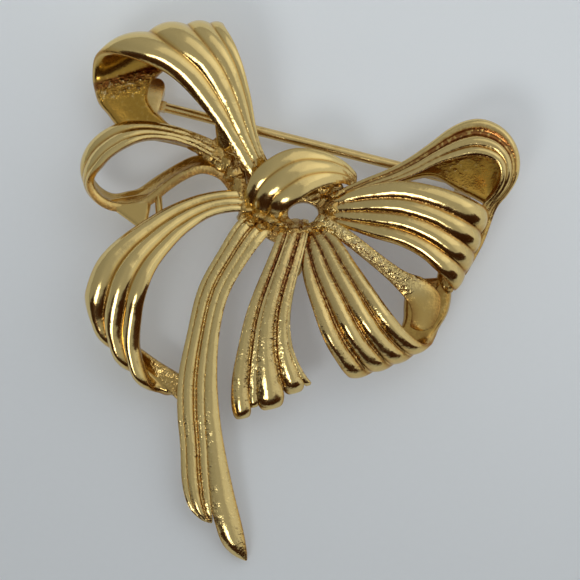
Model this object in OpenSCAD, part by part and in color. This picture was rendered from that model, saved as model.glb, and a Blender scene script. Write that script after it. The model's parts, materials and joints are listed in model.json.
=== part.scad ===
// Bow brooch: a cast bow of ribbed ribbons, and the pin on its back.
// It lies on its back, with its front up, +Y towards the top loop, and the table at z = 0.
// The origin is on the table under the middle of the whole outline.

/* [Casting] */
// Thickness of the metal between two ribs
wall = 0.8; // [0.6:0.05:1.2]
// Height of a full rib above the valleys
rib_height = 1.0; // [0.5:0.05:1.4]
// Height of the casting's back above the table
back_height = 3.4; // [3.2:0.1:4.5]

/* [Upper left loop] */
// Distance from the knot to its fold
top_loop_reach = 24; // [20:0.5:28]
// Width at its fold
top_loop_width = 16; // [13:0.5:18]
// Rise of its inner face above the back
top_loop_rise = 4.6; // [3.6:0.1:5.5]

/* [Small left loop] */
// Distance from the knot to its far end
small_loop_reach = 24; // [21:0.5:27]
// Width of its band
small_loop_width = 3.8; // [3:0.1:4.4]
// Rise of the middle of its band above the back
small_loop_rise = 2.2; // [1.8:0.1:3]

/* [Large left loop] */
// Distance from the knot to its fold
left_loop_reach = 24; // [21:0.5:26]
// Width along its fold
left_loop_width = 12.6; // [10:0.2:14]
// Rise of its inner face above the back
left_loop_rise = 3.6; // [2.8:0.1:4.4]

/* [Tails] */
// Length of the long tail from the knot
long_tail_reach = 42; // [36:0.5:46]
// Width of the long tail near its tip
long_tail_width = 5.5; // [4.5:0.1:6.5]
// Rise of the long tail's crest above the back
long_tail_rise = 2.2; // [1.5:0.1:3]
// Length of the short tail from the knot
short_tail_reach = 24; // [20:0.5:27]
// Width of the short tail at its end
short_tail_width = 9.6; // [8:0.2:11]
// Rise of the short tail's crest above the back
short_tail_rise = 2.8; // [2:0.1:3.6]

/* [Lower right loop] */
// Distance from the knot that its table counts as 1
lower_loop_reach = 24; // [21:0.5:27]
// Width at its fold
lower_loop_width = 10.2; // [8.5:0.2:11.5]
// Rise of its inner face above the back
lower_loop_rise = 3.8; // [3:0.1:4.6]

/* [Right fan loop] */
// Distance from the knot to its fold
fan_reach = 24; // [21:0.5:27]
// Width at its fold
fan_width = 10; // [8.5:0.2:11.5]
// Rise of its inner face above the back
fan_rise = 3.8; // [3:0.1:4.6]

/* [Upper right loop] */
// Distance from the knot that its table counts as 1
side_loop_reach = 24; // [21:0.5:27]
// Width of its band at the far end
side_loop_width = 4.6; // [3.8:0.1:5.4]
// Width of its pocket at the far end
pocket_width = 8; // [6.5:0.1:9]
// Rise of its band above the back
side_loop_rise = 4; // [3:0.1:5]

/* [Knot] */
// Distance from the middle that its table counts as 1
knot_reach = 12; // [10:0.5:14]
// Width of the knot band
knot_width = 5.8; // [5:0.1:6.6]
// Rise of its inner face above the back
knot_rise = 4.2; // [3.4:0.1:5]

/* [Back of the middle] */
// Thickness of the plate under the knot
plate_thickness = 1.8; // [1.4:0.1:2.4]
// Width of the hole through the middle
eye_width = 3.6; // [3:0.1:4]
// Height of the hole through the middle
eye_height = 2.6; // [2:0.1:3]
// Width of the bar that carries the right loops
bar_width = 1.6; // [1.2:0.1:2.2]
// Thickness of that bar
bar_thickness = 1; // [0.8:0.1:1.4]

/* [Pin] */
// Diameter of the stem
stem_d = 1.2; // [1:0.05:1.25]
// Height of the stem's axis above the table
stem_height = 1.5; // [1.3:0.05:1.7]
// Diameter of the rivet
rivet_d = 0.8; // [0.7:0.05:0.9]
// Free space round the rivet and beside the stem's eye
play = 0.05; // [0.04:0.01:0.08]

/* [Hidden] */
gold = [0.83, 0.68, 0.36];
back_steps = 2;

// A ribbon is swept along a table with one row per section, from the knot outwards:
//   right, up  middle of the section, from the middle of the knot, as shares of the reach
//   lift       height of that middle above the ribbon's base, as a share of its rise
//   wide       width of the section, as a share of the ribbon's width
//   turn       direction of the line across the ribbon, seen from the front, in degrees
//   lean       how far that line points above the flat, in degrees
//   curl       how far the section bends round, hollow side in, in degrees
//   ribs       height of its ribs, as a share of the rib height
TOP = 0;
SMALL = 1;
LEFT = 2;
LONG = 3;
SHORT = 4;
RIGHT = 0;
UP = 1;
LIFT = 2;
WIDE = 3;
TURN = 4;
LEAN = 5;
CURL = 6;
RIBS = 7;

// right, up, lift, wide, turn, lean, curl, ribs
top_loop = [
    [-0.09, 0.115, 0.15, 0.15, 35, 0, 20, 0.5],
    [-0.165, 0.20, 0.40, 0.14, 28, 0, 25, 1],
    [-0.24, 0.34, 0.62, 0.21, 12, 0, 25, 1],
    [-0.325, 0.51, 0.82, 0.37, 6, -2, 25, 1],
    [-0.415, 0.65, 0.97, 0.53, 6, -2, 27, 1],
    [-0.52, 0.74, 1.00, 0.72, 9, -2, 30, 1],
    [-0.615, 0.787, 0.87, 0.88, 12, -2, 32, 1],
    [-0.657, 0.787, 0.58, 0.96, 16, -2, 32, 1],
    [-0.72, 0.715, 0.35, 0.82, 15, 0, 25, 0.6],
    [-0.823, 0.635, 0.27, 0.485, 14, 0, 20, 0.3],
    [-0.838, 0.55, 0.26, 0.365, 9, 0, 20, 0.2],
    [-0.80, 0.485, 0.26, 0.33, 7, 0, 20, 0.2],
    [-0.75, 0.43, 0.26, 0.28, 25, 0, 20, 0.2],
    [-0.62, 0.375, 0.26, 0.12, 62, 0, 20, 0.2],
    [-0.44, 0.31, 0.26, 0.085, 62, 0, 20, 0.2],
    [-0.25, 0.20, 0.26, 0.12, 50, 0, 20, 0.2],
];
small_loop = [
    [-0.20, 0.135, 0.05, 0.63, 60, -10, 20, 0],
    [-0.36, 0.255, 0.65, 0.42, 60, -15, 30, 0.35],
    [-0.54, 0.328, 0.85, 0.38, 75, -25, 30, 1],
    [-0.70, 0.35, 0.95, 0.56, 92, -35, 40, 1],
    [-0.82, 0.33, 1.00, 0.85, 112, -35, 50, 1],
    [-0.92, 0.265, 0.95, 0.90, 135, -40, 60, 1],
    [-0.965, 0.185, 0.80, 0.88, 158, -58, 70, 0.8],
    [-0.96, 0.11, 0.72, 0.88, 182, -100, 70, 0.5],
    [-0.905, 0.055, 0.68, 0.85, 225, -118, 60, 0.4],
    [-0.83, 0.045, 0.65, 0.82, 262, -130, 60, 0.4],
    [-0.745, 0.065, 0.62, 0.82, 305, -130, 60, 0.4],
    [-0.66, 0.13, 0.62, 0.75, 314, -128, 70, 0.6],
    [-0.57, 0.19, 0.60, 0.75, 305, -125, 70, 0.6],
    [-0.47, 0.235, 0.58, 0.70, 283, -130, 70, 0.6],
    [-0.38, 0.23, 0.55, 0.70, 260, -130, 60, 0.6],
    [-0.295, 0.175, 0.50, 0.63, 235, -120, 60, 0.6],
    [-0.235, 0.075, 0.45, 0.56, 215, -110, 50, 0.5],
];
left_loop = [
    [-0.14, 0.015, -0.10, 0.17, 85, 0, 20, 0.5],
    [-0.255, 0.01, 0.45, 0.18, 94, -8, 25, 1],
    [-0.405, -0.02, 0.65, 0.21, 110, -14, 25, 1],
    [-0.545, -0.095, 0.85, 0.29, 127, -16, 25, 1],
    [-0.655, -0.185, 1.00, 0.37, 134, -16, 25, 1],
    [-0.75, -0.28, 1.12, 0.46, 141, -14, 25, 1],
    [-0.817, -0.378, 1.13, 0.54, 147, -10, 25, 1],
    [-0.855, -0.485, 0.84, 0.57, 150, -5, 25, 1],
    [-0.862, -0.593, 0.46, 0.66, 138, -2, 25, 1],
    [-0.82, -0.70, 0.18, 0.79, 131, 0, 25, 1],
    [-0.77, -0.757, 0.12, 0.86, 131, 0, 25, 0.6],
    [-0.715, -0.80, 0.12, 0.77, 131, 0, 20, 0.4],
    [-0.60, -0.88, 0.15, 0.42, 118, 0, 20, 0.2],
    [-0.495, -0.93, 0.15, 0.20, 95, 0, 20, 0.2],
];
long_tail = [
    [-0.051, -0.029, 0.50, 0.50, 150, 0, 20, 0.5],
    [-0.109, -0.077, 0.90, 0.65, 147, 0, 20, 1],
    [-0.163, -0.157, 0.97, 0.60, 155, 0, 20, 1],
    [-0.216, -0.254, 0.97, 0.61, 163, 0, 20, 1],
    [-0.244, -0.369, 0.90, 0.63, 176, 0, 20, 1],
    [-0.26, -0.486, 0.76, 0.78, 180, 0, 20, 1],
    [-0.259, -0.586, 0.62, 0.85, 181, 0, 20, 1],
    [-0.249, -0.677, 0.47, 0.88, 184, 0, 20, 1],
    [-0.237, -0.777, 0.35, 1.00, 185, 0, 20, 1],
    [-0.217, -0.857, 0.26, 1.02, 178, 0, 20, 1],
    [-0.186, -0.923, 0.16, 0.97, 160, 0, 20, 0.9],
    [-0.16, -0.97, 0.04, 0.80, 155, 0, 20, 0.8],
];
short_tail = [
    [0.03, -0.10, 0.00, 0.28, 180, 0, 20, 0.5],
    [0.02, -0.165, 0.62, 0.34, 180, 0, 20, 0.8],
    [-0.02, -0.285, 0.95, 0.39, 180, 0, 20, 1],
    [-0.07, -0.425, 1.00, 0.45, 180, 0, 20, 1],
    [-0.11, -0.575, 0.90, 0.53, 180, 0, 20, 1],
    [-0.12, -0.715, 0.60, 0.65, 180, 0, 20, 1],
    [-0.11, -0.835, 0.25, 0.85, 184, 0, 20, 1],
    [-0.095, -0.925, -0.05, 1.00, 194, 0, 20, 1],
];
lower_loop = [
    [0.12, -0.16, 0.30, 0.30, -145, 0, 20, 0.5],
    [0.16, -0.25, 0.55, 0.48, -153, 0, 20, 1],
    [0.20, -0.36, 0.80, 0.60, -159, 0, 20, 1],
    [0.26, -0.485, 1.00, 0.71, -162, 0, 20, 1],
    [0.33, -0.615, 0.95, 0.82, -161, 0, 20, 1],
    [0.405, -0.71, 0.64, 0.88, -160, 0, 20, 0.9],
    [0.45, -0.75, 0.46, 0.92, -158, 0, 20, 0.6],
    [0.49, -0.745, 0.34, 0.95, -157, 0, 20, 0.3],
    [0.54, -0.715, 0.27, 0.90, -156, 0, 20, 0.2],
    [0.61, -0.66, 0.24, 0.68, -158, 0, 20, 0.3],
    [0.675, -0.57, 0.24, 0.52, -166, 0, 20, 0.2],
    [0.69, -0.475, 0.24, 0.53, -174, 0, 20, 0.2],
    [0.70, -0.358, 0.235, 0.50, -177, 0, 20, 0.2],
];
fan = [
    [0.212, -0.03, 0.31, 0.30, -86, 0, 20, 0.5],
    [0.30, -0.035, 0.52, 0.42, -81, -4, 20, 1],
    [0.425, -0.04, 0.75, 0.61, -90, -8, 20, 1],
    [0.56, -0.055, 0.93, 0.74, -94, -9, 20, 1],
    [0.68, -0.095, 1.00, 0.82, -102, -9, 20, 1],
    [0.78, -0.145, 0.92, 0.91, -111, -8, 20, 1],
    [0.84, -0.185, 0.78, 0.96, -114, -6, 20, 0.9],
    [0.868, -0.215, 0.48, 1.00, -113, -3, 20, 0.5],
    [0.855, -0.215, 0.30, 0.96, -111, 0, 20, 0.2],
    [0.79, -0.28, 0.24, 0.60, -106, 0, 20, 0.2],
    [0.74, -0.35, 0.24, 0.40, -100, 0, 20, 0.2],
];
side_loop = [
    [0.225, 0.015, 0.30, 0.36, -60, 8, 20, 0.5],
    [0.373, 0.084, 0.55, 0.26, -45, 10, 25, 0.6],
    [0.51, 0.126, 0.70, 0.30, -52, 12, 30, 0.7],
    [0.622, 0.175, 0.80, 0.36, -57, 13, 30, 0.8],
    [0.731, 0.235, 0.88, 0.50, -66, 14, 30, 0.9],
    [0.837, 0.288, 0.92, 0.80, -80, 14, 30, 1],
    [0.93, 0.31, 0.95, 0.95, -97, 14, 30, 1],
    [1.018, 0.283, 0.95, 0.85, -111, 16, 32, 1],
    [1.069, 0.221, 0.90, 0.63, -133, 20, 35, 0.8],
    [1.071, 0.142, 0.78, 0.51, -151, 22, 35, 0.5],
    [1.035, 0.07, 0.58, 0.38, -166, 20, 32, 0.4],
    [0.985, -0.005, 0.42, 0.30, -186, 16, 28, 0.3],
    [0.93, -0.17, 0.20, 0.30, -197, 12, 20, 0.2],
    [0.838, -0.345, 0.06, 0.26, -207, 10, 20, 0.2],
];
pocket = [
    [1.045, 0.18, 0.45, 0.80, -96, 0, 30, 0],
    [0.985, 0.165, 0.34, 1.0, -80, 0, 35, 0],
    [0.90, 0.16, 0.32, 0.70, -75, 0, 35, 0],
    [0.81, 0.17, 0.28, 0.42, -80, 0, 25, 0],
    [0.70, 0.20, 0.24, 0.26, -72, 0, 20, 0],
    [0.55, 0.155, 0.24, 0.20, -60, 0, 20, 0],
    [0.40, 0.08, 0.24, 0.20, -60, 0, 20, 0],
    [0.25, 0.02, 0.24, 0.25, -60, 0, 20, 0],
];
knot = [
    [-0.27, -0.10, 0.05, 0.69, -33, 0, 32, 0.8],
    [-0.25, -0.01, 0.50, 0.79, -32, 0, 32, 1],
    [-0.18, 0.11, 0.85, 0.92, -44, 0, 32, 1],
    [-0.05, 0.21, 1.00, 0.98, -52, 0, 32, 1],
    [0.12, 0.30, 0.97, 0.90, -64, 0, 32, 1],
    [0.32, 0.33, 0.80, 0.64, -76, 0, 32, 1],
    [0.49, 0.31, 0.50, 0.40, -84, 0, 32, 0.8],
    [0.61, 0.25, 0.15, 0.20, -100, 0, 32, 0.5],
];
back_bar = [
    [0.14, -0.06, 1.6, 0.70, -128, -24, 36, 1],
    [0.27, -0.14, 2.2, 0.70, -126, -24, 36, 1],
    [0.375, -0.22, 2.1, 0.70, -126, -24, 36, 1],
    [0.475, -0.30, 1.6, 0.75, -128, -22, 38, 1],
    [0.55, -0.36, 0.9, 1.0, -132, -14, 40, 1],
    [0.61, -0.40, 0.35, 1.7, -146, 0, 40, 0.6],
    [0.665, -0.455, 0.0, 2.35, -165, 0, 16, 0.3],
    [0.68, -0.53, 0.0, 2.0, -176, 0, 14, 0.2],
    [0.66, -0.59, -0.2, 1.6, -184, 0, 14, 0.2],
    [0.64, -0.625, -0.8, 1.4, -188, 0, 14, 0.2],
];

// The widths of a ribbon's ribs, as shares of its width, from its left edge seen along its length
top_ribs = [0.42, 0.30, 0.18, 0.10];
small_ribs = [0.2, 0.3, 0.5];
left_ribs = [0.3, 0.33, 0.37];
long_ribs = [0.30, 0.22, 0.30, 0.18];
short_ribs = [0.08, 0.25, 0.32, 0.12, 0.23];
lower_ribs = [0.22, 0.26, 0.28, 0.24];
fan_ribs = [0.28, 0.24, 0.24, 0.24];
side_ribs = [0.3, 0.45, 0.25];
knot_ribs = [0.3, 0.35, 0.35];
plain = [1];

// Discs that the plate under the knot is wrapped round: right, up and radius, as shares of the reach
knot_plate = [
    [-0.28, 0.03, 0.20],
    [0.00, 0.15, 0.24],
    [0.38, 0.12, 0.18],
    [0.42, -0.16, 0.14],
    [0.05, -0.30, 0.16],
    [-0.22, -0.18, 0.14],
];
// The hole through the middle: right and up, as shares of the reach
eye_place = [0.135, -0.08];

// The rounded ends of the tails' ribs: place across, radius and length, as shares of the width
short_tips = [
    [0.06, 0.035, 0.02],
    [0.21, 0.10, 0.03],
    [0.52, 0.13, 0.10],
    [0.73, 0.05, 0.10],
    [0.89, 0.09, 0.16],
];
long_tips = [
    [0.27, 0.16, 0.05],
    [0.62, 0.10, 0.00],
];
// Webs between two ribbons, each wrapped round its corners: ribbon, row and place across
webs = [
    [[SMALL, 8.3, 0.3], [SMALL, 10.2, 0.3], [LEFT, 4.1, 0.95]],
    [[SMALL, 10.7, 0.3], [LEFT, 3.45, 0.95]],
    [[TOP, 2, 0.1], [TOP, 2.8, 0.15], [SMALL, 1, 0.8]],
];
web_thickness = 0.9;

// The hinge's and the catch's places: right and up, as shares of their loops' reaches
hinge_place = [-0.69, 0.544];
catch_place = [0.89, 0.138];
// Where the hinge's pad meets the loop above it, as shares of that loop's reach
hinge_foot = [-0.79, 0.54];
eye_thickness = stem_d;
ear_thickness = 1.1;
ear_r = 0.9;
pad_r = 1;
pad_overhang = 1.1;
foot_r = 1.5;
ear_gap = eye_thickness + 2 * play;
fork_width = ear_gap + 2 * ear_thickness;
pad_ends = [pad_r - fork_width / 2 - 0.1, fork_width / 2 + pad_overhang - pad_r - 0.1];
eye_r = 1;
neck_length = 0.5;
catch_width = 3;
catch_length = 2.2;
slot_width = stem_d + 0.2;
point_length = 2.5;
pad_thickness = 0.8;

// Curves and directions
function unit(v) = v / norm(v);
function row_at(rows, i) = rows[min(max(i, 0), len(rows) - 1)];
function eased(rows, i, t) =
    let (
        a = row_at(rows, i - 1),
        b = row_at(rows, i),
        c = row_at(rows, i + 1),
        d = row_at(rows, i + 2)
    )
    b + (c - a) * t / 2
        + (2 * a - 5 * b + 4 * c - d) * t * t / 2
        + (3 * b - a - 3 * c + d) * t * t * t / 2;
function across(row) = [
    cos(row[LEAN]) * cos(row[TURN]),
    cos(row[LEAN]) * sin(row[TURN]),
    sin(row[LEAN])
];

// A ribbon holds its rows, its reach, width, base and rise, its ribs, and its sections per row
function middle(ribbon, row) = [
    row[RIGHT] * ribbon[1],
    row[UP] * ribbon[1],
    ribbon[3] + row[LIFT] * ribbon[4]
];
function sections(ribbon) =
    let (rows = ribbon[0], last = len(rows) - 1)
    [for (i = [0:last - 1], k = [0:ribbon[6] - 1]) eased(rows, i, k / ribbon[6]), rows[last]];

// The height of the ribs across a section: a list of places from 0 to 1, each with its share
function relief(ribs, i = 0, from = 0) =
    i == len(ribs) ? [[1, 0]] :
    let (n = ribs[i] < 0.2 ? 3 : 4, high = min(1, 0.4 + 2 * ribs[i]))
    concat(
        [for (k = [0:n - 1]) [from + ribs[i] * k / n, high * pow(sin(180 * k / n), 0.75)]],
        relief(ribs, i + 1, from + ribs[i])
    );

// One section's outline, in the plane of the line across it and the ribbon's outward side
function outline(width, row, bumps) =
    let (half = row[CURL] / 2, r = width / 2 / sin(half))
    [
        for (b = bumps)
            let (a = (2 * b[0] - 1) * half, out = r + wall + b[1] * row[RIBS] * rib_height)
            [out * sin(a), out * cos(a) - r * cos(half)],
        for (k = [back_steps:-1:0])
            let (a = (2 * k / back_steps - 1) * half)
            [r * sin(a), r * cos(a) - r * cos(half)]
    ];
function rings(ribbon) =
    let (
        rows = sections(ribbon),
        bumps = relief(ribbon[5]),
        last = len(rows) - 1,
        middles = [for (row = rows) middle(ribbon, row)]
    )
    [for (i = [0:last])
        let (
            along = middles[min(i + 1, last)] - middles[max(i - 1, 0)],
            u = across(rows[i]),
            v = unit(cross(u, along))
        )
        [for (p = outline(rows[i][WIDE] * ribbon[2], rows[i], bumps))
            middles[i] + p[0] * u + p[1] * v]
    ];
module sweep(ribbon) {
    loops = rings(ribbon);
    n = len(loops[0]);
    last = len(loops) - 1;
    points = [for (loop = loops) each loop];
    sides = [
        for (i = [0:last - 1], k = [0:n - 1])
            let (a = i * n + k, b = i * n + (k + 1) % n)
            each [[a, a + n, b + n], [a, b + n, b]]
    ];
    start = [for (k = [0:n - 1]) k];
    end = [for (k = [n - 1:-1:0]) last * n + k];
    polyhedron(points, concat(sides, [start, end]), convexity = 10);
}

RIBBONS = [
    [top_loop, top_loop_reach, top_loop_width, back_height, top_loop_rise, top_ribs, 2],
    [small_loop, small_loop_reach, small_loop_width, back_height, small_loop_rise, small_ribs, 2],
    [left_loop, left_loop_reach, left_loop_width, back_height, left_loop_rise, left_ribs, 2],
    [long_tail, long_tail_reach, long_tail_width, 0, back_height + long_tail_rise, long_ribs, 2],
    [short_tail, short_tail_reach, short_tail_width, back_height, short_tail_rise, short_ribs, 2],
    [lower_loop, lower_loop_reach, lower_loop_width, back_height, lower_loop_rise, lower_ribs, 2],
    [fan, fan_reach, fan_width, back_height, fan_rise, fan_ribs, 2],
    [side_loop, side_loop_reach, side_loop_width, back_height, side_loop_rise, side_ribs, 2],
    [pocket, side_loop_reach, pocket_width, back_height, side_loop_rise, plain, 1],
    [knot, knot_reach, knot_width, back_height, knot_rise, knot_ribs, 2],
    [back_bar, lower_loop_reach, bar_width, back_height, bar_thickness, plain, 1],
];

// A place on a ribbon's inner face: row number, share of the way across, height above it
function spot(ribbon, i, share, height) =
    let (
        j = floor(i),
        row = eased(ribbon[0], j, i - j),
        u = across(row),
        along = middle(ribbon, row_at(ribbon[0], j + 1)) - middle(ribbon, row_at(ribbon[0], j - 1))
    )
    middle(ribbon, row) + (share - 0.5) * row[WIDE] * ribbon[2] * u + height * unit(cross(u, along));
function heading(ribbon) =
    let (last = len(ribbon[0]) - 1)
    unit(middle(ribbon, ribbon[0][last]) - middle(ribbon, ribbon[0][last - 1]));

// The two balls of a rib's rounded end, each with its radius
function tip_balls(ribbon, t) =
    let (
        r = t[1] * ribbon[2],
        at = spot(ribbon, len(ribbon[0]) - 1, t[0], r)
    )
    [
        [at - heading(ribbon) * r * 1.6, r],
        [at + heading(ribbon) * t[2] * ribbon[2], r * 0.8]
    ];

// The whole outline, which the origin is under the middle of
outline_points = concat(
    [for (ribbon = RIBBONS) for (loop = rings(ribbon)) each loop],
    [for (t = long_tips) for (b = tip_balls(RIBBONS[LONG], t)) b[0] - [0, b[1], 0]]
);
knot_at = [for (k = [0, 1])
    let (places = [for (p = outline_points) p[k]])
    -(min(places) + max(places)) / 2
];

hinge_at = hinge_place * top_loop_reach;
catch_at = catch_place * side_loop_reach;
pin_length = norm(catch_at - hinge_at);
pin_angle = atan2(catch_at[1] - hinge_at[1], catch_at[0] - hinge_at[0]);
wire_start = eye_r + neck_length;
wire_end = pin_length - catch_length / 2 - 0.4;
point_start = pin_length + catch_length / 2 + 0.3;

module from_knot() {
    translate(knot_at)
        children();
}
// Along the stem: +X from the hinge to the catch
module from_hinge() {
    from_knot()
        translate(hinge_at)
            rotate([0, 0, pin_angle])
                children();
}
module ball(at, r) {
    translate(at)
        sphere(r, $fn = 12);
}
module tips(ribbon, list) {
    for (t = list)
        hull()
            for (b = tip_balls(ribbon, t))
                ball(b[0], b[1]);
}
module web(corners) {
    hull()
        for (c = corners)
            ball(spot(RIBBONS[c[0]], c[1], c[2], web_thickness * 0.8), web_thickness / 2);
}
module middle_plate() {
    difference() {
        hull()
            for (p = knot_plate)
                translate([p[0] * knot_reach, p[1] * knot_reach, back_height])
                    cylinder(h = plate_thickness, r = p[2] * knot_reach, $fn = 24);
        translate([eye_place[0] * knot_reach, eye_place[1] * knot_reach, 0])
            scale([1, eye_height / eye_width, 1])
                cylinder(h = 3 * back_height, r = eye_width / 2, $fn = 24);
    }
}
module ear() {
    hull() {
        translate([0, 0, ear_r])
            rotate([90, 7.5, 0])
                cylinder(h = ear_thickness, r = ear_r / cos(7.5), center = true, $fn = 24);
        translate([-ear_r, -ear_thickness / 2, back_height])
            cube([2 * ear_r, ear_thickness, pad_thickness / 2]);
    }
}
// The fork that the pin turns in, and the pad that joins it to the loop above
module hinge() {
    difference() {
        union() {
            for (side = [-1, 1])
                translate([0, side * (ear_gap + ear_thickness) / 2, 0])
                    ear();
            hull()
                for (y = pad_ends)
                    translate([0, y, back_height - pad_thickness])
                        cylinder(h = 2 * pad_thickness, r = pad_r, $fn = 24);
            translate([0, 0, back_height - pad_thickness * 0.2])
                hull() {
                    cylinder(h = pad_thickness, r = pad_r * 0.9, $fn = 24);
                    rotate([0, 0, -pin_angle])
                        translate((hinge_foot - hinge_place) * top_loop_reach)
                            cylinder(h = pad_thickness, r = foot_r, $fn = 24);
                }
        }
        translate([0, 0, stem_height])
            rotate([90, 0, 0])
                cylinder(h = 2 * fork_width, r = rivet_d / 2 + play, center = true, $fn = 24);
    }
}
// A plain hook, open towards the table
module catch() {
    translate([pin_length, 0, 0])
        difference() {
            union() {
                hull() {
                    translate([-catch_length / 2, -catch_width * 0.37, 0])
                        cube([catch_length, catch_width * 0.74, back_height]);
                    translate([-catch_length / 2, -catch_width / 2, stem_height / 2])
                        cube([catch_length, catch_width, back_height - stem_height / 2]);
                }
                translate([0, 0, back_height - 0.2])
                    cylinder(h = pad_thickness + 0.1, r = catch_width * 0.55, $fn = 24);
            }
            translate([0, 0, stem_height])
                rotate([0, 90, 0])
                    cylinder(h = 2 * catch_length, r = slot_width * 0.6, center = true, $fn = 24);
            translate([-catch_length, -slot_width / 2, -stem_height])
                cube([2 * catch_length, slot_width, 2 * stem_height]);
        }
}

module bow() {
    color(gold) {
        from_knot() {
            for (ribbon = RIBBONS)
                sweep(ribbon);
            middle_plate();
            tips(RIBBONS[SHORT], short_tips);
            tips(RIBBONS[LONG], long_tips);
            for (corners = webs)
                web(corners);
        }
        from_hinge() {
            hinge();
            catch();
        }
    }
}
module rivet() {
    head = rivet_d * 0.3;
    color(gold)
        from_hinge()
            translate([0, 0, stem_height])
                rotate([90, 0, 0]) {
                    cylinder(h = fork_width + 4 * play, d = rivet_d, center = true);
                    for (side = [-1, 1])
                        translate([0, 0, side * (fork_width / 2 + play + head / 2)])
                            cylinder(
                                h = head,
                                r1 = rivet_d * (side > 0 ? 0.8 : 0.55),
                                r2 = rivet_d * (side > 0 ? 0.55 : 0.8),
                                center = true
                            );
                }
}
module pin_stem() {
    color(gold)
        from_hinge()
            translate([0, 0, stem_height]) {
                difference() {
                    union() {
                        rotate([90, 0, 0])
                            cylinder(h = eye_thickness, r = eye_r, center = true);
                        translate([0, -eye_thickness / 2, -stem_d * 0.55])
                            cube([wire_start, eye_thickness, stem_d * 1.1]);
                    }
                    rotate([90, 0, 0])
                        cylinder(h = 2 * eye_thickness, r = rivet_d / 2 + play, center = true);
                }
                translate([wire_start, 0, 0])
                    rotate([0, 90, 0])
                        cylinder(h = wire_end - wire_start, d = stem_d);
                translate([wire_end, 0, 0])
                    rotate([0, 90, 0])
                        cylinder(h = point_start - wire_end, d1 = stem_d, d2 = stem_d * 0.88);
                translate([point_start, 0, 0])
                    rotate([0, 90, 0])
                        cylinder(h = point_length, d1 = stem_d * 0.88, d2 = stem_d * 0.12);
            }
}

bow();
rivet();
pin_stem();
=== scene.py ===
"""Bow brooch: a cast bow of ribbed ribbons in pale gold plating, with the pin on its back.

Lengths in the tables are in millimetres or shares, as the comments say. The scene itself is in metres.
"""
import json
import math
from collections import namedtuple

import bmesh
import bpy
from bpy.props import FloatProperty, FloatVectorProperty, PointerProperty
from mathutils import Matrix, Vector, noise


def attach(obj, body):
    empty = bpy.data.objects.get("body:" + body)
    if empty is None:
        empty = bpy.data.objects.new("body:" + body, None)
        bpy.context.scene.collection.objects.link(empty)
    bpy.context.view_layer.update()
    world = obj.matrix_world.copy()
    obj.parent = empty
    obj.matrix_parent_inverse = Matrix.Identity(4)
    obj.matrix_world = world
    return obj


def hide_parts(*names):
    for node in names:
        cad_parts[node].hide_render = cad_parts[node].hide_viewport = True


bl_info = {
    "name": "Bow brooch",
    "version": (1, 0, 0),
    "blender": (4, 5, 0),
    "location": "View3D > Sidebar > Brooch",
    "description": "Builds a cast bow brooch of ribbed ribbons, its pin, and a small photo stage",
    "category": "Add Mesh",
}

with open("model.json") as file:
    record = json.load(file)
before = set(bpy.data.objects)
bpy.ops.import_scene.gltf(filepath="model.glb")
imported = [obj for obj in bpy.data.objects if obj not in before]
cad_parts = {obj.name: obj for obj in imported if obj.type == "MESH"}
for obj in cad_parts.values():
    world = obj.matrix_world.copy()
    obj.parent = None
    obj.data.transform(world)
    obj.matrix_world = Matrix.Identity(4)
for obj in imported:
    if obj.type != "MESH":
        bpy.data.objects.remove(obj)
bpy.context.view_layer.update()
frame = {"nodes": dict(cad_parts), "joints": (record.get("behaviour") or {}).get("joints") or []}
MM = 0.001

# A ribbon is swept along a table with one row per section, from the knot outwards:
# right and up of the section's middle as shares of the reach, its lift as a share of the rise, its width
# as a share of the ribbon's, the direction across it and how far that leans out of the flat in degrees,
# how far the section bends round in degrees, and the height of its ribs as a share
RIGHT, UP, LIFT, WIDE, TURN, LEAN, CURL, RIBS = range(8)
TOP_LOOP = [
    (-0.09, 0.115, 0.15, 0.15, 35, 0, 20, 0.5),
    (-0.165, 0.20, 0.40, 0.14, 28, 0, 25, 1),
    (-0.24, 0.34, 0.62, 0.21, 12, 0, 25, 1),
    (-0.325, 0.51, 0.82, 0.37, 6, -2, 25, 1),
    (-0.415, 0.65, 0.97, 0.53, 6, -2, 27, 1),
    (-0.52, 0.74, 1.00, 0.72, 9, -2, 30, 1),
    (-0.615, 0.787, 0.87, 0.88, 12, -2, 32, 1),
    (-0.657, 0.787, 0.58, 0.96, 16, -2, 32, 1),
    (-0.72, 0.715, 0.35, 0.82, 15, 0, 25, 0.6),
    (-0.823, 0.635, 0.27, 0.485, 14, 0, 20, 0.3),
    (-0.838, 0.55, 0.26, 0.365, 9, 0, 20, 0.2),
    (-0.80, 0.485, 0.26, 0.33, 7, 0, 20, 0.2),
    (-0.75, 0.43, 0.26, 0.28, 25, 0, 20, 0.2),
    (-0.62, 0.375, 0.26, 0.12, 62, 0, 20, 0.2),
    (-0.44, 0.31, 0.26, 0.085, 62, 0, 20, 0.2),
    (-0.25, 0.20, 0.26, 0.12, 50, 0, 20, 0.2),
]
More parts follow.
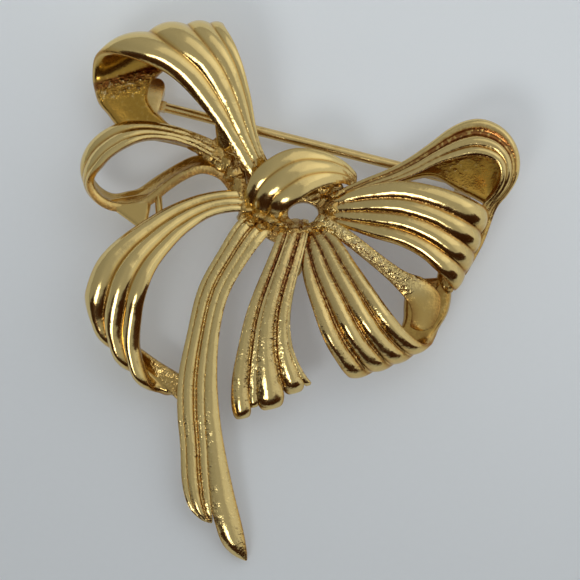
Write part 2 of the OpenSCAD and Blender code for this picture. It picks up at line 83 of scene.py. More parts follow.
SMALL_LOOP = [
    (-0.20, 0.135, 0.05, 0.63, 60, -10, 20, 0),
    (-0.36, 0.255, 0.65, 0.42, 60, -15, 30, 0.35),
    (-0.54, 0.328, 0.85, 0.38, 75, -25, 30, 1),
    (-0.70, 0.35, 0.95, 0.56, 92, -35, 40, 1),
    (-0.82, 0.33, 1.00, 0.85, 112, -35, 50, 1),
    (-0.92, 0.265, 0.95, 0.90, 135, -40, 60, 1),
    (-0.965, 0.185, 0.80, 0.88, 158, -58, 70, 0.8),
    (-0.96, 0.11, 0.72, 0.88, 182, -100, 70, 0.5),
    (-0.905, 0.055, 0.68, 0.85, 225, -118, 60, 0.4),
    (-0.83, 0.045, 0.65, 0.82, 262, -130, 60, 0.4),
    (-0.745, 0.065, 0.62, 0.82, 305, -130, 60, 0.4),
    (-0.66, 0.13, 0.62, 0.75, 314, -128, 70, 0.6),
    (-0.57, 0.19, 0.60, 0.75, 305, -125, 70, 0.6),
    (-0.47, 0.235, 0.58, 0.70, 283, -130, 70, 0.6),
    (-0.38, 0.23, 0.55, 0.70, 260, -130, 60, 0.6),
    (-0.295, 0.175, 0.50, 0.63, 235, -120, 60, 0.6),
    (-0.235, 0.075, 0.45, 0.56, 215, -110, 50, 0.5),
]
LEFT_LOOP = [
    (-0.14, 0.015, -0.10, 0.17, 85, 0, 20, 0.5),
    (-0.255, 0.01, 0.45, 0.18, 94, -8, 25, 1),
    (-0.405, -0.02, 0.65, 0.21, 110, -14, 25, 1),
    (-0.545, -0.095, 0.85, 0.29, 127, -16, 25, 1),
    (-0.655, -0.185, 1.00, 0.37, 134, -16, 25, 1),
    (-0.75, -0.28, 1.12, 0.46, 141, -14, 25, 1),
    (-0.817, -0.378, 1.13, 0.54, 147, -10, 25, 1),
    (-0.855, -0.485, 0.84, 0.57, 150, -5, 25, 1),
    (-0.862, -0.593, 0.46, 0.66, 138, -2, 25, 1),
    (-0.82, -0.70, 0.18, 0.79, 131, 0, 25, 1),
    (-0.77, -0.757, 0.12, 0.86, 131, 0, 25, 0.6),
    (-0.715, -0.80, 0.12, 0.77, 131, 0, 20, 0.4),
    (-0.60, -0.88, 0.15, 0.42, 118, 0, 20, 0.2),
    (-0.495, -0.93, 0.15, 0.20, 95, 0, 20, 0.2),
]
LONG_TAIL = [
    (-0.051, -0.029, 0.50, 0.50, 150, 0, 20, 0.5),
    (-0.109, -0.077, 0.90, 0.65, 147, 0, 20, 1),
    (-0.163, -0.157, 0.97, 0.60, 155, 0, 20, 1),
    (-0.216, -0.254, 0.97, 0.61, 163, 0, 20, 1),
    (-0.244, -0.369, 0.90, 0.63, 176, 0, 20, 1),
    (-0.26, -0.486, 0.76, 0.78, 180, 0, 20, 1),
    (-0.259, -0.586, 0.62, 0.85, 181, 0, 20, 1),
    (-0.249, -0.677, 0.47, 0.88, 184, 0, 20, 1),
    (-0.237, -0.777, 0.35, 1.00, 185, 0, 20, 1),
    (-0.217, -0.857, 0.26, 1.02, 178, 0, 20, 1),
    (-0.186, -0.923, 0.16, 0.97, 160, 0, 20, 0.9),
    (-0.16, -0.97, 0.04, 0.80, 155, 0, 20, 0.8),
]
SHORT_TAIL = [
    (0.03, -0.10, 0.00, 0.28, 180, 0, 20, 0.5),
    (0.02, -0.165, 0.62, 0.34, 180, 0, 20, 0.8),
    (-0.02, -0.285, 0.95, 0.39, 180, 0, 20, 1),
    (-0.07, -0.425, 1.00, 0.45, 180, 0, 20, 1),
    (-0.11, -0.575, 0.90, 0.53, 180, 0, 20, 1),
    (-0.12, -0.715, 0.60, 0.65, 180, 0, 20, 1),
    (-0.11, -0.835, 0.25, 0.85, 184, 0, 20, 1),
    (-0.095, -0.925, -0.05, 1.00, 194, 0, 20, 1),
]
LOWER_LOOP = [
    (0.12, -0.16, 0.30, 0.30, -145, 0, 20, 0.5),
    (0.16, -0.25, 0.55, 0.48, -153, 0, 20, 1),
    (0.20, -0.36, 0.80, 0.60, -159, 0, 20, 1),
    (0.26, -0.485, 1.00, 0.71, -162, 0, 20, 1),
    (0.33, -0.615, 0.95, 0.82, -161, 0, 20, 1),
    (0.405, -0.71, 0.64, 0.88, -160, 0, 20, 0.9),
    (0.45, -0.75, 0.46, 0.92, -158, 0, 20, 0.6),
    (0.49, -0.745, 0.34, 0.95, -157, 0, 20, 0.3),
    (0.54, -0.715, 0.27, 0.90, -156, 0, 20, 0.2),
    (0.61, -0.66, 0.24, 0.68, -158, 0, 20, 0.3),
    (0.675, -0.57, 0.24, 0.52, -166, 0, 20, 0.2),
    (0.69, -0.475, 0.24, 0.53, -174, 0, 20, 0.2),
    (0.70, -0.358, 0.235, 0.50, -177, 0, 20, 0.2),
]
FAN = [
    (0.212, -0.03, 0.31, 0.30, -86, 0, 20, 0.5),
    (0.30, -0.035, 0.52, 0.42, -81, -4, 20, 1),
    (0.425, -0.04, 0.75, 0.61, -90, -8, 20, 1),
    (0.56, -0.055, 0.93, 0.74, -94, -9, 20, 1),
    (0.68, -0.095, 1.00, 0.82, -102, -9, 20, 1),
    (0.78, -0.145, 0.92, 0.91, -111, -8, 20, 1),
    (0.84, -0.185, 0.78, 0.96, -114, -6, 20, 0.9),
    (0.868, -0.215, 0.48, 1.00, -113, -3, 20, 0.5),
    (0.855, -0.215, 0.30, 0.96, -111, 0, 20, 0.2),
    (0.79, -0.28, 0.24, 0.60, -106, 0, 20, 0.2),
    (0.74, -0.35, 0.24, 0.40, -100, 0, 20, 0.2),
]
SIDE_LOOP = [
    (0.225, 0.015, 0.30, 0.36, -60, 8, 20, 0.5),
    (0.373, 0.084, 0.55, 0.26, -45, 10, 25, 0.6),
    (0.51, 0.126, 0.70, 0.30, -52, 12, 30, 0.7),
    (0.622, 0.175, 0.80, 0.36, -57, 13, 30, 0.8),
    (0.731, 0.235, 0.88, 0.50, -66, 14, 30, 0.9),
    (0.837, 0.288, 0.92, 0.80, -80, 14, 30, 1),
    (0.93, 0.31, 0.95, 0.95, -97, 14, 30, 1),
    (1.018, 0.283, 0.95, 0.85, -111, 16, 32, 1),
    (1.069, 0.221, 0.90, 0.63, -133, 20, 35, 0.8),
    (1.071, 0.142, 0.78, 0.51, -151, 22, 35, 0.5),
    (1.035, 0.07, 0.58, 0.38, -166, 20, 32, 0.4),
    (0.985, -0.005, 0.42, 0.30, -186, 16, 28, 0.3),
    (0.93, -0.17, 0.20, 0.30, -197, 12, 20, 0.2),
    (0.838, -0.345, 0.06, 0.26, -207, 10, 20, 0.2),
]
POCKET = [
    (1.045, 0.18, 0.45, 0.80, -96, 0, 30, 0),
    (0.985, 0.165, 0.34, 1.0, -80, 0, 35, 0),
    (0.90, 0.16, 0.32, 0.70, -75, 0, 35, 0),
    (0.81, 0.17, 0.28, 0.42, -80, 0, 25, 0),
    (0.70, 0.20, 0.24, 0.26, -72, 0, 20, 0),
    (0.55, 0.155, 0.24, 0.20, -60, 0, 20, 0),
    (0.40, 0.08, 0.24, 0.20, -60, 0, 20, 0),
    (0.25, 0.02, 0.24, 0.25, -60, 0, 20, 0),
]
KNOT = [
    (-0.27, -0.10, 0.05, 0.69, -33, 0, 32, 0.8),
    (-0.25, -0.01, 0.50, 0.79, -32, 0, 32, 1),
    (-0.18, 0.11, 0.85, 0.92, -44, 0, 32, 1),
    (-0.05, 0.21, 1.00, 0.98, -52, 0, 32, 1),
    (0.12, 0.30, 0.97, 0.90, -64, 0, 32, 1),
    (0.32, 0.33, 0.80, 0.64, -76, 0, 32, 1),
    (0.49, 0.31, 0.50, 0.40, -84, 0, 32, 0.8),
    (0.61, 0.25, 0.15, 0.20, -100, 0, 32, 0.5),
]
BACK_BAR = [
    (0.14, -0.06, 1.6, 0.70, -128, -24, 36, 1),
    (0.27, -0.14, 2.2, 0.70, -126, -24, 36, 1),
    (0.375, -0.22, 2.1, 0.70, -126, -24, 36, 1),
    (0.475, -0.30, 1.6, 0.75, -128, -22, 38, 1),
    (0.55, -0.36, 0.9, 1.0, -132, -14, 40, 1),
    (0.61, -0.40, 0.35, 1.7, -146, 0, 40, 0.6),
    (0.665, -0.455, 0.0, 2.35, -165, 0, 16, 0.3),
    (0.68, -0.53, 0.0, 2.0, -176, 0, 14, 0.2),
    (0.66, -0.59, -0.2, 1.6, -184, 0, 14, 0.2),
    (0.64, -0.625, -0.8, 1.4, -188, 0, 14, 0.2),
]

# The widths of a ribbon's ribs, as shares of its width, from its left edge seen along its length;
# a share below zero is a rough groove between two ribs
TOP_RIBS = (0.42, 0.30, 0.18, 0.10)
SMALL_RIBS = (0.2, 0.3, 0.5)
LEFT_RIBS = (0.3, 0.33, 0.37)
LONG_RIBS = (0.28, 0.21, -0.10, 0.25, 0.16)
LONG_TIP_RIBS = (0.74, 0.05, -0.04, 0.11, 0.06)
SHORT_RIBS = (0.07, 0.17, -0.12, 0.26, 0.07, -0.10, 0.21)
SHORT_TIP_RIBS = (0.08, 0.26, -0.02, 0.32, 0.09, -0.01, 0.22)
LOWER_RIBS = (0.22, -0.03, 0.23, -0.03, 0.22, -0.05, 0.22)
FAN_RIBS = (0.28, 0.24, 0.24, 0.24)
SIDE_RIBS = (0.27, -0.22, 0.27, 0.24)
KNOT_RIBS = (0.3, 0.35, 0.35)
PLAIN = (1,)

# How rough a ribbon is from the mould: pairs of a row number and a share, with straight runs between them
ROUGH = {
    "upper_left_loop": [(0, 0.9), (2, 0.35), (4, 0), (8.2, 0), (8.6, 1), (9.6, 0.9), (10.2, 0.1), (15, 0.3)],
    "small_left_loop": [
        (0, 1), (1.6, 0.9), (2.7, 0.25), (4, 0.1), (9, 0.2), (11, 0.35), (14.5, 0.4), (16, 1),
    ],
    "large_left_loop": [(0, 0.9), (1.2, 0.2), (3, 0), (10.5, 0), (11.5, 0.4), (13, 0.7)],
    "long_tail": [(0, 1), (1.5, 0.7), (4, 0.5), (9, 0.6), (11, 0.4)],
    "short_tail": [(0, 0.7), (1.5, 0.9), (4, 0.9), (6, 0.7), (7.5, 0.1)],
    "lower_right_loop": [(0, 0.8), (1.5, 0.7), (3, 0.4), (5.5, 0.4), (6.5, 0.1), (9, 0), (12, 0.4)],
    "right_fan": [(0, 0.7), (1.5, 0.1), (8, 0), (10, 0.7)],
    "upper_right_loop": [(0, 0.5), (2, 0.2), (5, 0.15), (9, 0.1), (13, 0.3)],
    "pocket": [(0, 0.1), (2, 0.15), (2.8, 0.35), (4, 0.1), (7, 0.2)],
    "knot_band": [(0, 0.9), (0.7, 0.2), (1.5, 0), (6, 0), (7, 0.7)],
    "back_bar": [(0, 0.8), (4.2, 0.8), (5.6, 0.1)],
}

# How tarnished its hollows are, in the same way: this dark red is partly tarnish and partly painted shade in
# the folds, grooves and hollows
TARNISH_AND_SHADE = {
    "upper_left_loop": [(0, 0.3), (2, 0), (8.2, 0), (8.45, 1), (8.9, 1), (9.3, 0.1), (15, 0.2)],
    "small_left_loop": [(0, 0.5), (1.5, 0.2), (3, 0), (13, 0.1), (16, 0.4)],
    "large_left_loop": [(0, 0.5), (1, 0.1), (3, 0), (13, 0.2)],
    "long_tail": [(0, 0.7), (1, 0.3), (3, 0), (11, 0.3)],
    "short_tail": [(0, 0.5), (1, 0.8), (2.2, 1.4), (3.5, 0.6), (5, 0.15), (8, 0.4)],
    "lower_right_loop": [(0, 1), (1.2, 1.3), (2.2, 0.8), (4, 0.5), (8, 0.3), (11, 0.2), (12, 0.7)],
    "right_fan": [(0, 1), (1.5, 0.7), (4, 0.55), (7, 0.55), (10, 0.5)],
    "upper_right_loop": [(0, 0.3), (3, 0.7), (5, 1), (7.5, 1), (8.6, 0.2), (13, 0.2)],
    "pocket": [(0, 0), (7, 0.2)],
    "knot_band": [(0, 0.8), (0.6, 0.4), (1.2, 0), (7, 0)],
    "back_bar": [(0, 0.3), (2, 0), (6, 0)],
}
# How much the painted shade on a ribbon's inner face deepens its gold, where that isn't 1
DEEP = {"small_left_loop": 0.5, "large_left_loop": 0.5, "lower_right_loop": 0.8}

# How finely a ribbon is cut: sections in a row's length, points across a rib, and across the inner face
SECTION_STEPS = 4
RIB_STEPS = 10
INNER_STEPS = 6
# The rows on each side of a section that its direction is taken from
SLOPE_STEP = 0.25
# A groove's greatest depth as shares of the wall and of its own width, and how bright its middle is, so that
# its painted shade lies along its edges
GROOVE_WALL = 0.6
GROOVE_DEPTH = 0.45
GROOVE_SHINE = 0.3
# How much of the roughness is worn off a crest, and how much of the tarnish and painted shade lies on a rib's
# side
CREST_WEAR = 0.85
SIDE_TARNISH_AND_SHADE = 0.6
# The sections of a finger's round end, and in how many steps its quarter circle would close
TIP_SECTIONS = 9
TIP_STEPS = 9.3
# The depth in the wall, as a share, that a finger's end draws in to
TIP_DEPTH = 0.6
# How closely two points lie that become one, in metres
SAME_POINT = 1e-7

# Discs that the plate under the knot is wrapped round: right, up and radius, as shares of the knot's reach
KNOT_PLATE = [
    (-0.28, 0.03, 0.20),
    (0.00, 0.15, 0.24),
    (0.38, 0.12, 0.18),
    (0.42, -0.16, 0.14),
    (0.05, -0.30, 0.16),
    (-0.22, -0.18, 0.14),
]
EYE_PLACE = (0.135, -0.08)
# The points of a ring round the eye, the steps from the eye to the rim, and what the top is marked as
PLATE_SIDES = 96
PLATE_RINGS = 14
# The plate's inside and tarnish marks bring painted shade to its top
PLATE_MARKS = {"crest": 0.2, "inside": 0.5, "rough": 0.6, "tarnish_and_shade": 0.3}
# The swellings of rough metal: their size and their height in mm
PLATE_SWELLS = ((1.1, 0.24), (0.5, 0.12))
LUMP_SWELLS = ((1.0, 0.34), (0.4, 0.07))
# What the lumps are marked as; their inside and tarnish marks bring painted shade
LUMP_MARKS = (0.2, 0.6, 0.5, 0.2)

# The tails' fingers: first rib, the one after the last, the row number of the tip, and the rounding in rows
LONG_FINGERS = [(0, 1, 11.4, 1.7), (1, 5, 9.75, 1.3)]
SHORT_FINGERS = [
    (0, 1, 7.15, 0.4),
    (1, 3, 7.35, 1.1),
    (3, 4, 7.85, 0.8),
    (4, 6, 7.55, 0.4),
    (6, 7, 8.0, 0.6),
]
# How far neighbouring fingers run into each other, as a share of the tail's width
FINGER_LAP = 0.012
# Webs between two ribbons: ribbon, row and place across of each corner
WEBS = [
    [("small_left_loop", 8.3, 0.3), ("small_left_loop", 10.2, 0.3), ("large_left_loop", 4.1, 0.95)],
    [("small_left_loop", 10.7, 0.3), ("large_left_loop", 3.45, 0.95)],
    [("upper_left_loop", 1.9, 0.1), ("upper_left_loop", 2.6, 0.15), ("small_left_loop", 1, 0.8)],
]
# Their thickness in mm, the height of their middle as a share of that, and how bright they are
WEB_THICKNESS = 0.9
WEB_HEIGHT = 0.8
WEB_CREST = 0.3

# Rough lumps of the casting between the ribbons: right, up and height above the back in mm, then half sizes
LUMPS = [
    (-10.2, 7.0, 1.6, 1.5, 1.1, 0.9),
    (-11.2, 7.4, 1.8, 1.6, 0.8, 0.8),
    (-8.6, 7.4, 1.5, 1.2, 0.9, 0.7),
    (-7.6, 6.6, 1.5, 1.0, 1.0, 0.7),
    (-8.9, 6.1, 1.8, 1.5, 1.3, 1.0),
    (-7.6, 5.0, 1.8, 1.4, 1.3, 1.0),
    (-6.6, 3.8, 1.9, 1.3, 1.3, 1.0),
    (-6.0, 2.4, 1.9, 1.2, 1.4, 1.1),
    (-5.9, 0.9, 1.9, 1.1, 1.4, 1.1),
    (-5.1, -0.7, 2.0, 1.2, 1.1, 1.1),
    (-3.7, -1.6, 2.1, 1.3, 0.9, 1.1),
    (-2.2, -2.1, 2.2, 1.2, 0.8, 1.1),
    (-1.0, -2.7, 2.2, 1.1, 0.7, 1.1),
    (0.4, -3.2, 2.0, 1.2, 0.6, 1.0),
    (2.0, -3.3, 2.0, 1.2, 0.6, 1.0),
    (3.5, -2.8, 2.1, 1.0, 0.6, 1.0),
    (4.7, -1.8, 2.2, 1.0, 0.8, 1.0),
    (5.4, -0.4, 2.1, 1.3, 1.1, 1.0),
    (5.6, 1.1, 2.0, 1.3, 1.1, 1.0),
    (4.3, 2.3, 1.7, 1.5, 1.0, 0.9),
    (2.2, 2.6, 1.4, 1.5, 0.9, 0.8),
    (-5.5, -1.5, 1.9, 0.8, 0.6, 0.9),
    (-4.9, -2.4, 2.2, 0.9, 0.6, 0.9),
    (-3.4, -2.9, 2.2, 0.8, 0.6, 0.9),
    (-0.8, -3.7, 2.0, 0.7, 0.6, 0.9),
    (1.0, -4.9, 1.9, 0.7, 1.4, 0.8),
    (0.9, -7.2, 1.8, 0.7, 1.4, 0.7),
    (19.0, -9.2, 1.0, 0.8, 1.4, 0.8),
]

# The hinge's and the catch's places: right and up, as shares of their loops' reaches
HINGE_PLACE = Vector((-0.69, 0.544))
CATCH_PLACE = Vector((0.89, 0.138))
HINGE_FOOT = Vector((-0.79, 0.54))
# Their sizes in mm
SOFT_EDGE = 0.1
EAR_THICKNESS = 1.1
EAR_R = 0.9
PAD_R = 1.0
PAD_THICKNESS = 0.8
PAD_OVERHANG = 1.1
PAD_TRIM = 0.1
FOOT_R = 1.5
CATCH_WIDTH = 3.0
CATCH_LENGTH = 2.2
CATCH_SLACK = 0.2
CATCH_SINK = 0.2
PLAY = 0.05
# The lift of the arm to the hinge's foot, as a share of the pad's thickness
FOOT_LIFT = 0.3
# The catch's bore as a share of its slot, its mouth and the radius of its pad as shares of its width
CATCH_BORE = 0.6
CATCH_MOUTH = 0.37
CATCH_PAD = 0.55
ARC_STEPS = 24
# How polished they are
POLISHED = 0.8

# The photo's view: the camera stands over the middle of the brooch, a little towards its lower edge
VIEW_TARGET = Vector((-1.028, -0.106, 4.0)) * MM
VIEW_DISTANCE = 0.33
VIEW_FROM = Vector((0.0, -0.1392, 0.9903))
LENS = 170.7
SENSOR = 36
NEAREST = 0.01

# The room's sides: the direction of each, and the cosines to it at which it begins and is whole
ROOM = {
    "up": ((0, 0, 1), 0.0, 0.95),
    "left": ((-0.92, 0.10, 0.38), 0.50, 0.95),
    "window": ((0.50, 0.68, 0.53), 0.80, 0.97),
    "side": ((0.92, 0.05, 0.38), 0.58, 0.95),
    "bulb": ((-0.34, -0.62, 0.71), 0.974, 0.990),
    "near": ((0, -1, 0), 0.0, 1.0),
    "high": ((0, 0, 1), 0.50, 0.72),
}
# The room's own light, and what its sides add to it
ROOM_GLOW = 0.38
SIDE_GLOW = {"up": 0.03, "window": 0.10, "side": 0.30, "left": -0.07, "bulb": 5.0}
PALE_ROOM = (0.95, 0.985, 1.0)
DARK_ROOM = (0.09, 0.036, 0.014)
# The soft box: place and size in metres, power in watts, and colour
KEY_PLACE = Vector((0.28, 0.33, 0.50))
KEY_SIZE = 0.60
KEY_POWER = 0.3
KEY_COLOUR = (1.0, 0.98, 0.95)

# The sizes of the marks in the metal and the paper, in mm
CLOUD_SIZE = 3.2
PATCH_SIZE = 1.1
LUMP_SIZE = 0.55
GRAIN_SIZE = 0.30
WIRE_CLOUD_SIZE = 1.6
WIRE_GRAIN_SIZE = 0.18
PAPER_GRAIN_SIZE = 0.8
# How deep they go, in mm
SWELL_DEPTH = 0.16
LUMP_DEPTH = 0.40
GRAIN_DEPTH = 0.16
WIRE_DEPTH = 0.03
# The way along which the paper's painted shade gives way to paler paper, and the metres along it where that
# begins and ends
PAPER_WAY = (0.38, 0.90, 0)
PAPER_SPAN = (-0.055, 0.05)
# How dark the painted shade leaves the paper at its darkest, as a share of its colour
PAPER_SHADE = 0.74


# ---- sizes and colours that a user would change


def length(name, description, mm):
    """A length that the sidebar shows in the scene's own unit."""
    shown = {"min": 0, "unit": "LENGTH", "precision": 5}
    return FloatProperty(name=name, description=description, default=mm * MM, **shown)


def tint(name, description, colour):
    """A colour that the sidebar shows as a swatch."""
    shown = {"min": 0, "max": 1, "subtype": "COLOR"}
    return FloatVectorProperty(name=name, description=description, default=colour, **shown)


def amount(name, description, default):
    """A share from 0 to 1."""
    shown = {"min": 0, "max": 1, "subtype": "FACTOR"}
    return FloatProperty(name=name, description=description, default=default, **shown)


class BroochSizes(bpy.types.PropertyGroup):
    """The sizes of the brooch's ribbons and of what its back carries."""

    wall: length("Wall", "Thickness of the metal between two ribs", 1.1)
    rib_height: length("Rib height", "Greatest height of a rib above the valleys", 0.75)
    back_height: length("Back height", "Height of the casting's back above the table", 3.4)
    top_reach: length("Upper left reach", "Distance from the knot to the upper left loop's fold", 24)
    top_width: length("Upper left width", "Width of the upper left loop at its fold", 16)
    top_rise: length("Upper left rise", "Rise of the upper left loop above the back", 4.6)
    small_reach: length("Small left reach", "Distance from the knot to the small loop's far end", 24)
    small_width: length("Small left width", "Width of the small loop's band", 3.8)
    small_rise: length("Small left rise", "Rise of the small loop's band above the back", 2.2)
    left_reach: length("Large left reach", "Distance from the knot to the large left loop's fold", 24)
    left_width: length("Large left width", "Width of the large left loop along its fold", 12.6)
    left_rise: length("Large left rise", "Rise of the large left loop above the back", 3.6)
    long_reach: length("Long tail reach", "Length of the long tail from the knot", 42)
    long_width: length("Long tail width", "Width of the long tail near its tip", 5.5)
    long_rise: length("Long tail rise", "Rise of the long tail's crest above the back", 2.2)
    short_reach: length("Short tail reach", "Length of the short tail from the knot", 24)
    short_width: length("Short tail width", "Width of the short tail at its end", 9.6)
    short_rise: length("Short tail rise", "Rise of the short tail's crest above the back", 2.8)
    lower_reach: length("Lower right reach", "Distance that the lower right loop's table counts as 1", 24)
    lower_width: length("Lower right width", "Width of the lower right loop at its fold", 10.2)
    lower_rise: length("Lower right rise", "Rise of the lower right loop above the back", 3.8)
    fan_reach: length("Fan reach", "Distance from the knot to the fan's fold", 24)
    fan_width: length("Fan width", "Width of the fan at its fold", 10)
    fan_rise: length("Fan rise", "Rise of the fan above the back", 3.8)
    side_reach: length("Upper right reach", "Distance that the upper right loop's table counts as 1", 24)
    side_width: length("Upper right width", "Width of the upper right loop's band", 4.6)
    pocket_width: length("Pocket width", "Width of the upper right loop's pocket", 8)
    side_rise: length("Upper right rise", "Rise of the upper right loop above the back", 4)
    knot_reach: length("Knot reach", "Distance that the knot's table counts as 1", 12)
    knot_width: length("Knot width", "Width of the knot band", 5.8)
    knot_rise: length("Knot rise", "Rise of the knot band above the back", 4.2)
    plate_thickness: length("Plate thickness", "Thickness of the plate under the knot", 1.8)
    eye_width: length("Eye width", "Width of the hole through the middle", 3.6)
    eye_height: length("Eye height", "Height of the hole through the middle", 2.6)
    bar_width: length("Bar width", "Width of the bar that carries the right loops", 1.6)
    bar_thickness: length("Bar thickness", "Thickness of that bar", 1.0)
    stem_d: length("Stem diameter", "Diameter of the pin's stem", 1.2)
    stem_height: length("Stem height", "Height of the stem's axis above the table", 1.5)
    rivet_d: length("Rivet diameter", "Diameter of the hinge's rivet", 0.8)


class BroochColours(bpy.types.PropertyGroup):
    """The colours of the plating and of the stage, with the plating's painted shade and glints."""

    crest: tint("Crests", "Plating on the polished crests of the ribs", (0.80, 0.605, 0.25))
    # The valley gold is partly the rough metal's own tone and partly painted shade on the ribs' flanks and in
    # the valleys
    valley: tint("Valleys", "Plating in the rough valleys between the ribs", (0.70, 0.45, 0.12))
    # Painted shade: the darker inside gold stands in for the shade that falls inside the loops and round the
    # knot
    inside: tint("Insides", "Plating on the loops' inner faces", (0.52, 0.305, 0.055))
    pin: tint("Pin", "Plating on the pin, the hinge and the catch", (0.82, 0.60, 0.25))
    # The stain colour is real stain in the pits, and painted shade where it darkens the grooves and hollows
    stain_and_shade: tint("Stain", "Dark stain in the pits of the plating", (0.28, 0.095, 0.025))
    # Painted glints: bright specks laid on the rough parts
    painted_glint: tint("Flecks", "Bright flecks on the rough parts", (1.0, 0.84, 0.48))
    crest_gloss: amount("Crest roughness", "Roughness of the polished crests", 0.14)
    valley_gloss: amount("Valley roughness", "Roughness of the valleys", 0.20)
    floor: tint("Floor", "Colour of the paper under the brooch", (0.85, 0.885, 0.91))


# ---- shader maths


class Socket:
    """One output of a material's node. Arithmetic on it adds Math nodes."""

    def __init__(self, finish, output):
        self.finish = finish
        self.output = output

    def math(self, operation, *values):
        """A Math node on some sockets and numbers."""
        return self.finish.add("Math", {"operation": operation}, dict(enumerate(values)))

    def __add__(self, other):
        return self.math("ADD", self, other)

    __radd__ = __add__

    def __sub__(self, other):
        return self.math("SUBTRACT", self, other)

    def __rsub__(self, other):
        return self.math("SUBTRACT", other, self)

    def __mul__(self, other):
        return self.math("MULTIPLY", self, other)

    __rmul__ = __mul__

    def at_least(self, other):
        """The greater of the two."""
        return self.math("MAXIMUM", self, other)

    def at_most(self, other):
        """The smaller of the two."""
        return self.math("MINIMUM", self, other)

    def between(self, low, high):
        """0 below low and 1 above high, eased between them."""
        settings = {"interpolation_type": "SMOOTHSTEP"}
        values = {"Value": self, "From Min": low, "From Max": high}
        return self.finish.add("MapRange", settings, values)


class Finish:
    """Builds a material, or the world, from nodes."""

    def __init__(self, tree):
        self.tree = tree
        tree.nodes.clear()

    def add(self, kind, settings=None, values=None, out=0):
        """Adds a node and returns one of its outputs. The settings are set before the values or links."""
        node = self.tree.nodes.new("ShaderNode" + kind)
        for key, value in (settings or {}).items():
            setattr(node, key, value)
        for key, value in (values or {}).items():
            if isinstance(value, Socket):
                self.tree.links.new(value.output, node.inputs[key])
            else:
                node.inputs[key].default_value = value
        return Socket(self, node.outputs[out])

    def close(self, shader, kind="OutputMaterial"):
        """Gives the surface, or the room, its shader."""
        node = self.tree.nodes.new("ShaderNode" + kind)
        self.tree.links.new(shader.output, node.inputs["Surface"])

    def places(self):
        """Object coordinates."""
        return self.add("TexCoord", out="Object")

    def marked(self, name):
        """A number that the mesh carries at each of its points."""
        return self.add("Attribute", {"attribute_name": name}, out="Fac")

    def noise(self, places, size, detail=3.0, roughness=0.5):
        """Cloudy noise from 0 to 1 with lumps of a size in mm."""
        scale = 1 / (size * MM)
        values = {"Vector": places, "Scale": scale, "Detail": detail, "Roughness": roughness}
        return self.add("TexNoise", {}, values)

    def along(self, places, way):
        """How far a place lies along a way."""
        return self.add("VectorMath", {"operation": "DOT_PRODUCT"}, {0: places, 1: way}, out="Value")

    def mix(self, share, a, b):
        """Colour a where share is 0 and b where it is 1."""
        return self.add("Mix", {"data_type": "RGBA"}, {0: share, 6: a, 7: b}, out=2)

    def bump(self, height, depth, under=None):
        """A normal bent by height, which stands for depth in mm at 1, over another bend."""
        values = {"Height": height, "Distance": depth * MM, "Strength": 1.0}
        return self.add("Bump", {}, {**values, "Normal": under} if under else values)


def opaque(colour):
    """A colour with nothing to see through it."""
    return (*colour, 1.0)


def new_material(name):
    """An empty material and what builds it."""
    material = bpy.data.materials.new(name)
    material.use_nodes = True
    return material, Finish(material.node_tree)


def cast_gold(colours):
    """Polished crests, satin insides and grainy valleys, from the marks that the ribbons carry, with painted
    shade in the insides, valleys, grooves and hollows and painted glints on the rough parts.
    """
    material, f = new_material("cast_gold")
    places = f.places()
    crest = f.marked("crest")
    inside = f.marked("inside")
    cast = f.marked("rough")
    tarnish_and_shade = f.marked("tarnish_and_shade")
    cloud = f.noise(places, CLOUD_SIZE, 1.5)
    patch = f.noise(places, PATCH_SIZE, 3).between(0.42, 0.66)
    fine = f.noise(places, GRAIN_SIZE, 2, 0.6)
    lumps = f.noise(places, LUMP_SIZE, 2, 0.6)
    outer = 1 - inside.between(0.0, 0.4)
    # Grooves: their edges take painted shade
    groove = (1 - crest.between(0.0, 0.22)) * outer
    grainy = (cast * (0.35 + patch * 0.65) * 1.2 + groove * 0.3 + patch * 0.05).at_most(1)
    # The ribs' flanks take the valley gold: the rough metal's own tone with painted shade
    flanks = (1 - crest.between(0.0, 0.6)) * outer
    base = f.mix(flanks, opaque(colours.crest), opaque(colours.valley))
    # The inner faces take the inside gold, painted shade for the shade inside the loops
    base = f.mix(inside, base, opaque(colours.inside))
    # Painted glints: bright specks on the rough parts
    base = f.mix(lumps.between(0.58, 0.68) * cast * 0.6, base, opaque(colours.painted_glint))
    pits = (1 - fine.between(0.36, 0.5)) * grainy
    red = tarnish_and_shade * (1 - lumps.between(0.44, 0.60) * 0.75)
    # Real stain in the pits, painted shade in the grooves, and dark red tarnish with painted shade in the
    # hollows
    stained_and_shaded = (pits * (0.5 - crest * 0.3) + groove * 0.45 + red).at_most(0.9)
    colour = f.mix(stained_and_shaded, base, opaque(colours.stain_and_shade))
    rougher = colours.valley_gloss - colours.crest_gloss
    roughness = colours.crest_gloss + rougher * grainy + inside * 0.08
    roughness = roughness + (cloud - 0.5) * 0.10
    swell = f.bump(cloud, SWELL_DEPTH)
    cast_swell = f.bump(lumps * cast * cast, LUMP_DEPTH, under=swell)
    grain = f.bump(fine * (0.03 + grainy * 0.97), GRAIN_DEPTH, under=cast_swell)
    values = {"Base Color": colour, "Metallic": 1.0, "Roughness": roughness, "Normal": grain}
    f.close(f.add("BsdfPrincipled", {}, values))
    return material


def wire_gold(colours):
    """Plated wire and small fittings: smooth, with faint handling marks."""
    material, f = new_material("wire_gold")
    places = f.places()
    cloud = f.noise(places, WIRE_CLOUD_SIZE, 3)
    fine = f.noise(places, WIRE_GRAIN_SIZE, 3)
    colour = f.mix(cloud.between(0.4, 0.75) * 0.4, opaque(colours.pin), opaque(colours.inside))
    bent = f.bump(fine * 0.6 + cloud * 0.4, WIRE_DEPTH)
    roughness = 0.16 + fine * 0.14
    values = {"Base Color": colour, "Metallic": 1.0, "Roughness": roughness, "Normal": bent}
    f.close(f.add("BsdfPrincipled", {}, values))
    return material


